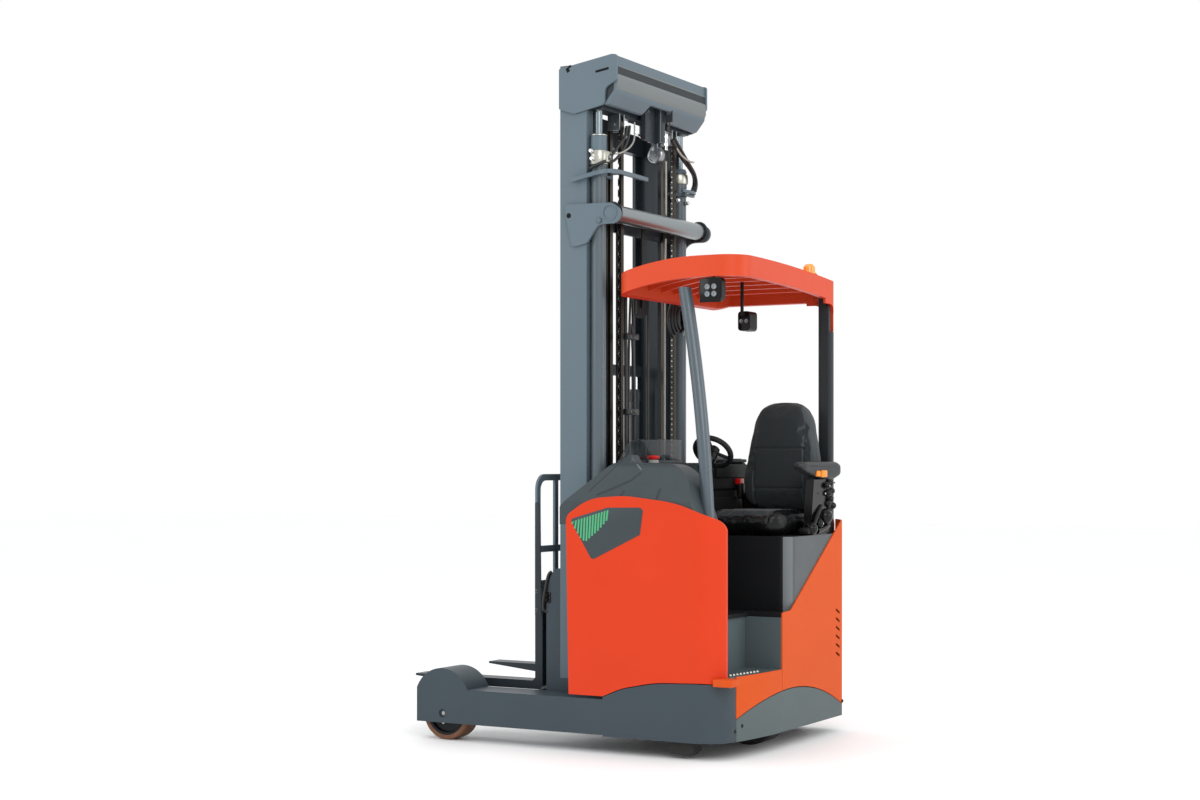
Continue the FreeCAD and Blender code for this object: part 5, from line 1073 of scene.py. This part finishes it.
def make_badge():
    """The plain badge plate on each flank, its forward corner striped green."""
    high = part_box("flank_panel_left")[1]
    plate = [(-0.1165, 1.022), (-0.1160, 1.031), (-0.1235, 1.0375), (-0.2995, 1.087),
             (-0.4635, 1.089), (-0.4785, 1.076), (-0.4635, 0.970), (-0.2360, 0.861),
             (-0.2245, 0.859), (-0.2150, 0.864)]
    upper = [(-0.117, 1.022), (-0.310, 1.078)]
    lower = [(-0.117, 1.018), (-0.167, 0.947), (-0.188, 0.934), (-0.256, 0.987), (-0.312, 1.046)]

    def height(line, x):
        for one, two in zip(line, line[1:]):
            if two[0] <= x <= one[0]:
                return one[1] + (two[1] - one[1]) * (one[0] - x) / (one[0] - two[0])
        return line[-1][1]

    def badge(bm):
        for side in (1, -1):
            face = side * high.y
            add_plate(bm, plate, "y", *sorted((face - side * 0.001, face + side * 0.0012)),
                      bevel=0.0004)
            for k in range(13):
                x, wide = -0.1225 - 0.0146 * k, 0.0088
                bottom = height(lower, x - wide / 2 + 0.006)
                top = height(upper, x - wide / 2)
                if top - bottom > 0.006:
                    add_plate(bm, [(x, top - 0.001), (x - wide, top + 0.001),
                                   (x - wide + 0.006, bottom), (x + 0.006, bottom)], "y",
                              *sorted((face + side * 0.0008, face + side * 0.0018)), slot=1)
    piece("flank_badges", badge, ("panel_dark", "panel_green"))


def make_seams():
    """Black sheet of painted shade behind the louvres, cover screws, axle bolts, the fascia's return
    and the step's grips.
    """
    def gaps(bm):
        # A black sheet of painted shade behind the louvres' openings.
        add_box(bm, (-0.8900, -0.500, 0.285), (-0.8860, -0.390, 0.500))
    piece("louvre_shade_sheet", gaps, "dark_void")

    def screws(bm):
        for y, z in ((0.532, 0.153), (0.602, 0.136), (-0.579, 0.143)):
            add_socket_screw(bm, (-0.9068, y, z), (-1, 0, 0), 0.009)
    piece("cover_screws", screws, "gloss_black")

    def axle_bolts(bm):
        for side in (1, -1):
            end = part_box("load_axles")[1 if side > 0 else 0].y
            add_bolt(bm, (LOAD_AXLE_X, end - side * 0.0005, LOAD_AXLE_Z), (0, side, 0), 0.007)
    piece("axle_bolts", axle_bolts, "zinc")

    def fascia_return(bm):
        add_box(bm, (-0.9055, 0.545, 0.325), (-0.815, 0.6315, 0.3565), 0.003)
    piece("fascia_return", fascia_return, "tail_paint")

    def teeth(bm):
        start, end = Vector((-0.822, 0.475, 0.358)), Vector((-0.855, 0.269, 0.358))
        for k in range(9):
            spot = start.lerp(end, k / 8)
            add_lathe(bm, [(0.0, 0.0), (0.0085, 0.0), (0.0085, 0.002), (0.0055, 0.007),
                           (0.0030, 0.007), (0.0030, 0.003), (0.0, 0.003)], spot, (0, 0, 1), 0, 14)
    piece("step_grip", teeth, "zinc")


def add_crease(bm, names, points, width, slot=0, lift=0.0006):
    """A narrow band laid on the named solids, from points moved onto them along one way."""
    inward = Vector((0.494, -0.8695, -0.012)).normalized()
    hits = []
    for point in points:
        best = None
        for name in names:
            start = Vector(point) - inward * 0.5
            found, spot, normal, _ = NODES[name].ray_cast(start, inward)
            if found and (best is None or (spot - start).length < (best[0] - start).length):
                best = (spot, normal)
        if best:
            hits.append(best)
    rows = []
    for i, (spot, normal) in enumerate(hits):
        way = hits[min(i + 1, len(hits) - 1)][0] - hits[max(i - 1, 0)][0]
        across = way.cross(normal).normalized() * width / 2
        if i in (0, len(hits) - 1):
            across *= 0.25
        rows.append([bm.verts.new(spot + across + normal * lift),
                     bm.verts.new(spot - across + normal * lift),
                     bm.verts.new(spot - across - normal * 0.001),
                     bm.verts.new(spot + across - normal * 0.001)])
    bridge(bm, rows, slot)
    if rows:
        cap_ends(bm, rows, slot)


def between(start, end, steps=8):
    """Evenly spaced points on a straight line."""
    return [Vector(start).lerp(Vector(end), k / steps) for k in range(steps + 1)]


def make_creases():
    """Painted shade in the hood's short slits and along its long crease, and a painted highlight on
    the fin's edge.
    """
    covers = ("battery_hood", "cab_shoulder")

    def dark(bm):
        add_crease(bm, covers, between((-0.346, 0.6, 1.138), (-0.368, 0.6, 1.164)), 0.010)
        add_crease(bm, covers, between((-0.524, 0.6, 1.124), (-0.547, 0.6, 1.174)), 0.012)
        add_crease(bm, covers, between((-0.222, 0.6, 1.141), (-0.301, 0.6, 1.168))
                   + between((-0.310, 0.6, 1.172), (-0.400, 0.6, 1.207))
                   + between((-0.408, 0.6, 1.212), (-0.453, 0.6, 1.244)), 0.011)
        add_crease(bm, covers, between((-0.153, 0.55, 1.153), (-0.367, 0.55, 1.326), 14), 0.005)

    def edge(bm):
        # A strip of painted highlight along the fin's edge.
        add_crease(bm, covers, between((-0.367, 0.55, 1.322), (-0.426, 0.55, 1.252)), 0.006)
    piece("hood_crease_shade", dark, "groove_grey")
    piece("hood_fin_highlight_strip", edge, "beam_paint")


def make_backrest_side():
    """The flat bars and bolts along the backrest's posts, and the hoses behind them."""
    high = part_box("load_backrest")[1]

    def bars(bm):
        for side in (1, -1):
            y = side * (high.y + 0.003)
            add_plate(bm, [(0.158, 0.585), (0.192, 0.583), (0.192, 1.100), (0.178, 1.104),
                           (0.164, 1.080)], "y", *sorted((y, y - side * 0.006)), bevel=0.001)
            for z in (0.604, 0.692):
                add_bolt(bm, (0.183, y, z), (0, side, 0), 0.007, 1)
    piece("backrest_bars", bars, ("stage_paint", "zinc"), body="fork_unit")

    def hoses(bm):
        for k in range(5):
            y = 0.395 + 0.010 * k
            run = [(0.120, y, 0.560 + 0.01 * k), (0.140, y + 0.014, 0.610), (0.136, y + 0.018, 0.665),
                   (0.118, y + 0.010, 0.715 + 0.012 * k), (0.104, y, 0.735 + 0.012 * k)]
            add_tube(bm, smooth_run(run, 6), 0.0085, 0, 10)
        add_box(bm, (0.104, 0.382, 0.640), (0.146, 0.448, 0.690), 0.004, 1)
        for z in (0.655, 0.676):
            add_lathe(bm, [(0.0, 0.0), (0.010, 0.0), (0.010, 0.010), (0.007, 0.014), (0.0, 0.014)],
                      (0.122, 0.447, z), (0, 1, 0), 1, 16)
    piece("shifter_hoses", hoses, ("hose_rubber", "dark_void"), body="shifter")


def make_screen():
    """The tinted sheet that stands between the hood and the mast."""
    def sheet(bm):
        add_plate(bm, [(0.372, 1.270), (0.372, 1.300), (0.300, 1.372), (0.230, 1.392),
                       (-0.240, 1.396), (-0.240, 1.270)], "x", -0.2170, -0.2130, bevel=0.001)
    piece("mast_screen", sheet, "tinted_sheet")

    def rail(bm):
        add_box(bm, (-0.2215, -0.245, 1.262), (-0.2085, 0.376, 1.296), 0.002)
        for y in (-0.20, 0.05, 0.33):
            add_bolt(bm, (-0.2215, y, 1.284), (-1, 0, 0), 0.006, 1)
    piece("mast_screen_rail", rail, ("hood_plastic", "zinc"))


def make_stop():
    """The emergency stop's grey seat on the hood, and its red cap."""
    low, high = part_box("emergency_stop")
    middle = (low + high) / 2

    def seat(bm):
        add_lathe(bm, [(0.0, -0.020), (0.036, -0.020), (0.034, -0.004), (0.0285, 0.004),
                       (0.0215, 0.006), (0.0215, 0.010), (0.0, 0.010)],
                  (middle.x, middle.y, low.z - 0.004), (0, 0, 1), 0, 32)
        add_lathe(bm, [(0.0180, 0.000), (0.0255, 0.0), (0.0245, 0.010), (0.0225, 0.014),
                       (0.0180, 0.014)], (middle.x, middle.y, low.z), (0, 0, 1), 1, 32)
    piece("stop_seat", seat, ("armrest_vinyl", "cable_grey"))

    def cap(bm):
        add_lathe(bm, [(0.0185, -0.004), (0.0265, -0.003), (0.0285, 0.002), (0.0275, 0.010),
                       (0.0200, 0.014), (0.0, 0.0155)], (middle.x, middle.y, high.z - 0.012),
                  (0, 0, 1), 0, 36)
    piece("stop_cap", cap, "stop_red")


def make_lamps():
    """Lamp glasses with their four cells, and the beacon's foot."""
    def glass(bm):
        add_box(bm, (-0.7535, 0.4215, 1.991), (-0.6495, 0.4265, 2.097), 0.003)
        add_box(bm, (-0.6035, -0.1845, 1.909), (-0.5495, -0.1795, 1.993), 0.002)
    piece("lamp_glasses", glass, "gloss_black")

    def cells(bm):
        for x in (-0.7285, -0.6955):
            for z in (2.0160, 2.0480):
                add_lathe(bm, [(0.0125, -0.001), (0.0125, 0.0015), (0.0090, 0.0), (0.0, -0.0008)],
                          (x + 0.008, 0.4272, z + 0.012), (0, 1, 0), 0, 20)
        for x in (-0.590, -0.563):
            add_lathe(bm, [(0.0095, -0.001), (0.0095, 0.0012), (0.0060, 0.0), (0.0, -0.0008)],
                      (x, -0.1790, 1.950), (0, 1, 0), 0, 20)
    piece("lamp_cells", cells, "lamp_glass")

    low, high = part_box("beacon")
    middle = (low + high) / 2

    def foot(bm):
        add_lathe(bm, [(0.0, -0.012), (0.0395, -0.012), (0.0395, 0.006), (0.0370, 0.009),
                       (0.0, 0.009)], (middle.x, middle.y, low.z), (0, 0, 1), 0, 36)
    piece("beacon_foot", foot, "lamp_black")


def make_hub_details():
    """Wheel bolts and hub caps on the load wheels."""
    for side, name in ((1, "left"), (-1, "right")):
        def caps(bm):
            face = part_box("load_hub_" + name)[1 if side > 0 else 0].y
            axle = Vector((LOAD_AXLE_X, face, LOAD_AXLE_Z))
            add_lathe(bm, [(0.0, 0.0), (0.026, 0.0), (0.026, 0.006), (0.018, 0.011), (0.0, 0.012)],
                      axle, (0, side, 0), 1, 28)
            for k in range(5):
                angle = 2 * math.pi * k / 5
                spot = axle + Vector((0.048 * math.cos(angle), 0, 0.048 * math.sin(angle)))
                add_bolt(bm, spot, (0, side, 0), 0.006)
        piece("hub_bolts_" + name, caps, ("zinc", "iron"), body="load_wheel_" + name)


def make_head_details():
    """Painted shade in the mast head's groove and a narrow strip by its notch, the lip and a thin top
    edge in a lighter grey of painted highlight, the end caps, and the guide box hanging in its notch.
    """
    side = 0.4445

    def groove_shade_strip(bm):
        # Dark strips of painted shade: the groove under the top beam, and a narrow strip by the
        # notch.
        add_box(bm, (-0.2412, -side, 3.042), (-0.2398, side, 3.074))
        add_box(bm, (-0.2370, -0.112, 2.905), (-0.2040, -0.104, 2.960))
    piece("mast_head_groove_shade", groove_shade_strip, "groove_grey", body="reach")

    # The lip and the thin bar above the groove are in the lighter grey: painted highlight.
    def lip(bm):
        outline = [(-0.2398, 3.0415), (-0.2455, 3.034), (-0.2468, 3.022), (-0.2462, 2.986),
                   (-0.2398, 2.972)]
        add_plate(bm, outline, "y", -side, side)
        add_box(bm, (-0.2420, -side, 3.074), (-0.2398, side, 3.080), 0.0005)
    piece("mast_head_lip", lip, "beam_paint", body="reach")

    def caps(bm):
        outline = [(-0.239, 3.060), (-0.239, 2.972), (-0.231, 2.953), (-0.199, 2.913),
                   (-0.183, 2.906), (-0.176, 2.930), (-0.176, 3.060)]
        for sign in (1, -1):
            add_plate(bm, outline, "y", *sorted((sign * 0.4380, sign * 0.4440)))
    piece("mast_head_caps", caps, "stage_paint", body="reach")

    def box(bm):
        add_box(bm, (-0.1812, -0.040, 2.795), (-0.1772, 0.098, 2.990), 0, 0)
        add_box(bm, (-0.2020, 0.094, 2.795), (-0.1772, 0.098, 2.975), 0, 0)
        add_box(bm, (-0.2020, -0.042, 2.795), (-0.1772, -0.038, 2.975), 0, 0)
        add_box(bm, (-0.1850, 0.012, 2.862), (-0.1812, 0.066, 2.980), 0.001, 1)
        add_box(bm, (-0.2040, -0.096, 2.800), (-0.1800, -0.050, 2.985), 0.003, 2)
        add_tube(bm, smooth_run([(-0.196, -0.100, 2.968), (-0.200, -0.128, 2.955),
                                 (-0.200, -0.140, 2.920), (-0.196, -0.126, 2.872)], 6), 0.010, 3, 12)
        for x, y, z in ((-0.1850, 0.038, 2.935), (-0.2030, -0.122, 2.902)):
            add_bolt(bm, (x, y, z), (-1, 0, 0), 0.007, 4)
    piece("mast_guide_box", box, ("stage_paint", "mast_paint", "beam_paint", "hose_rubber", "zinc"),
          body="reach")


def by_face(name, finishes, choose):
    """Gives a CAD node several finishes, chosen face by face."""
    mesh = NODES[name].data
    mesh.materials.clear()
    for finish in finishes:
        mesh.materials.append(FINISHES[finish])
    for face in mesh.polygons:
        face.material_index = choose(face.center, face.normal)


def dress_faces():
    """Solids whose faces differ: the tie's tube, the seat box, the free-lift head, the guard."""
    # The tie tube's round faces get the lighter copy: painted highlight.
    by_face("mast_tie", ("mast_paint", "tie_tube_highlight"),
            lambda c, n: 1 if abs(math.hypot(c.x - TIE_X, c.z - TIE_Z) - TIE_RADIUS) < 0.004
            and abs(c.y) < 0.443 and abs(n.y) < 0.3 else 0)
    # The seat box's rear faces get the shield grey, the bend at its side the lighter copy: painted
    # light.
    by_face("seat_box", ("black_plastic", "shield_grey", "shield_corner"),
            lambda c, n: 1 if n.x < -0.9 else (2 if n.x < -0.25 and c.y > -0.1 else 0))
    by_face("free_lift_head", ("chrome", "stage_paint"), lambda c, n: 1 if c.z > 1.62 else 0)
    # The guard's downward faces get the deeper red copy: painted shade.
    by_face("overhead_guard", ("guard_paint", "guard_shaded_bottom"),
            lambda c, n: 1 if n.z < -0.3 else 0)


class REACH_OT_body(bpy.types.Operator):
    """Adds the badges, screws, lamps, screen and head details, and finishes by face"""
    bl_idname = "reach_truck.body"
    bl_label = "Body"

    def execute(self, context):
        make_badge()
        make_seams()
        make_creases()
        make_backrest_side()
        make_screen()
        make_stop()
        make_lamps()
        make_hub_details()
        make_head_details()
        dress_faces()
        return {"FINISHED"}


# ---------------------------------------------------------------- stage

def photo_camera(settings):
    """A level camera at the tail's left, at eye height."""
    data = bpy.data.cameras.new("photo_camera")
    data.lens = settings.lens_mm
    data.sensor_width = 36.0
    data.shift_y = settings.shift_y
    data.clip_end = 100.0
    camera = bpy.data.objects.new("photo_camera", data)
    camera.location = settings.camera_at
    camera.rotation_euler = (math.radians(90), 0, math.radians(180 + settings.camera_yaw))
    bpy.context.scene.collection.objects.link(camera)
    bpy.context.scene.camera = camera


def area_light(name, at, target, size, power, colour=(1, 1, 1)):
    """A soft panel aimed at a point."""
    data = bpy.data.lights.new(name, "AREA")
    data.shape = "RECTANGLE"
    data.size, data.size_y = size
    data.energy = power
    data.color = colour
    made = bpy.data.objects.new(name, data)
    made.location = at
    way = Vector(target) - Vector(at)
    made.rotation_euler = way.to_track_quat("-Z", "Y").to_euler()
    bpy.context.scene.collection.objects.link(made)


def studio_world(strength):
    """White all round; the camera sees plain white past the floor."""
    world = bpy.data.worlds.new("studio_white")
    world.use_nodes = True
    tree = world.node_tree
    tree.nodes.clear()
    out = tree.nodes.new("ShaderNodeOutputWorld")
    light = node(tree, "ShaderNodeBackground", Color=(0.99, 0.995, 1.0, 1), Strength=strength)
    seen = node(tree, "ShaderNodeBackground", Color=(1, 1, 1, 1), Strength=1.0)
    path = tree.nodes.new("ShaderNodeLightPath")
    mix = tree.nodes.new("ShaderNodeMixShader")
    tree.links.new(path.outputs["Is Camera Ray"], mix.inputs[0])
    tree.links.new(light.outputs[0], mix.inputs[1])
    tree.links.new(seen.outputs[0], mix.inputs[2])
    tree.links.new(mix.outputs[0], out.inputs["Surface"])
    bpy.context.scene.world = world


def studio_floor(size):
    """A wide pale floor under the wheels."""
    made, tree, shader, place = blank("pale_studio_floor")
    tint(tree, shader, noise(tree, place, 900, 2.0), linear("fafafa"), linear("fdfdfd"))
    shader.inputs["Roughness"].default_value = 0.6
    mesh = bpy.data.meshes.new("studio_floor")
    bm = bmesh.new()
    bmesh.ops.create_grid(bm, x_segments=1, y_segments=1, size=size)
    bm.to_mesh(mesh)
    bm.free()
    mesh.materials.append(made)
    floor = bpy.data.objects.new("studio_floor", mesh)
    bpy.context.scene.collection.objects.link(floor)


def make_stage(settings):
    scene = bpy.context.scene
    scene.view_settings.view_transform = "Standard"
    photo_camera(settings)
    studio_world(settings.ambient)
    studio_floor(settings.floor_half)
    area_light("key_left", (-5.5, 5.5, 5.0), (0, 0, 1.0), (4.0, 3.0), settings.key_power)
    area_light("top_soft", (0.5, 0.5, 6.5), (0, 0, 0.5), (5.0, 5.0), settings.top_power)
    area_light("tail_fill", (-6.5, -1.5, 2.6), (0, 0, 1.0), (3.0, 3.0), settings.fill_power)
    area_light("mast_rim", (3.5, 5.0, 3.5), (0.0, 0, 1.6), (2.0, 3.0), settings.rim_power)


# ---------------------------------------------------------------- the add-on

class StageSettings(bpy.types.PropertyGroup):
    """The camera and the studio."""
    camera_at: bpy.props.FloatVectorProperty(
        name="Camera place", description="Where the camera stands, in metres",
        size=3, default=(-4.549, 8.178, 1.289))
    camera_yaw: bpy.props.FloatProperty(
        name="Camera yaw", description="How far the camera turns from looking along -Y, degrees",
        default=29.606)
    lens_mm: bpy.props.FloatProperty(
        name="Lens", description="Focal length in millimetres on a 36 mm sensor", default=58.92)
    shift_y: bpy.props.FloatProperty(
        name="Shift", description="Upward shift of the frame, in widths", default=0.0515)
    ambient: bpy.props.FloatProperty(
        name="Ambient", description="Strength of the white surroundings", default=1.03)
    key_power: bpy.props.FloatProperty(
        name="Key", description="Power of the key light, watts", default=150.0)
    top_power: bpy.props.FloatProperty(
        name="Top", description="Power of the top light, watts", default=60.0)
    fill_power: bpy.props.FloatProperty(
        name="Fill", description="Power of the light on the tail, watts", default=60.0)
    rim_power: bpy.props.FloatProperty(
        name="Rim", description="Power of the light on the mast's side, watts", default=40.0)
    floor_half: bpy.props.FloatProperty(
        name="Floor", description="Half the floor's width, in metres", default=30.0)


class REACH_OT_stage(bpy.types.Operator):
    """Sets up the floor, lights and camera"""
    bl_idname = "reach_truck.stage"
    bl_label = "Stage"

    def execute(self, context):
        make_stage(context.scene.reach_stage)
        return {"FINISHED"}


class REACH_OT_finishes(bpy.types.Operator):
    """Makes the finishes and puts them on the truck's solids"""
    bl_idname = "reach_truck.finishes"
    bl_label = "Finishes"

    def execute(self, context):
        make_finishes()
        dress_cad()
        return {"FINISHED"}


CLASSES = [StageSettings, SeatSettings, MastSettings, REACH_OT_stage, REACH_OT_finishes,
           REACH_OT_seat, REACH_OT_controls, REACH_OT_mast, REACH_OT_body]


class REACH_PT_sidebar(bpy.types.Panel):
    """Settings and build buttons for the reach truck"""
    bl_idname = "REACH_PT_sidebar"
    bl_label = "Reach truck"
    bl_space_type = "VIEW_3D"
    bl_region_type = "UI"
    bl_category = "Reach truck"

    def draw(self, context):
        for name in SETTINGS:
            group = getattr(context.scene, name)
            for prop in group.__annotations__:
                self.layout.prop(group, prop)
        for step in STEPS:
            self.layout.operator("reach_truck." + step)


SETTINGS = {"reach_stage": StageSettings, "reach_seat": SeatSettings,
            "reach_mast": MastSettings}
STEPS = ("stage", "finishes", "seat", "controls", "mast", "body")


def register():
    for cls in CLASSES + [REACH_PT_sidebar]:
        bpy.utils.register_class(cls)
    for name, group in SETTINGS.items():
        setattr(bpy.types.Scene, name, bpy.props.PointerProperty(type=group))


def unregister():
    for name in SETTINGS:
        delattr(bpy.types.Scene, name)
    for cls in reversed(CLASSES + [REACH_PT_sidebar]):
        bpy.utils.unregister_class(cls)


def main():
    register()
    for step in STEPS:
        getattr(bpy.ops.reach_truck, step)()


if __name__ == "__main__":
    main()
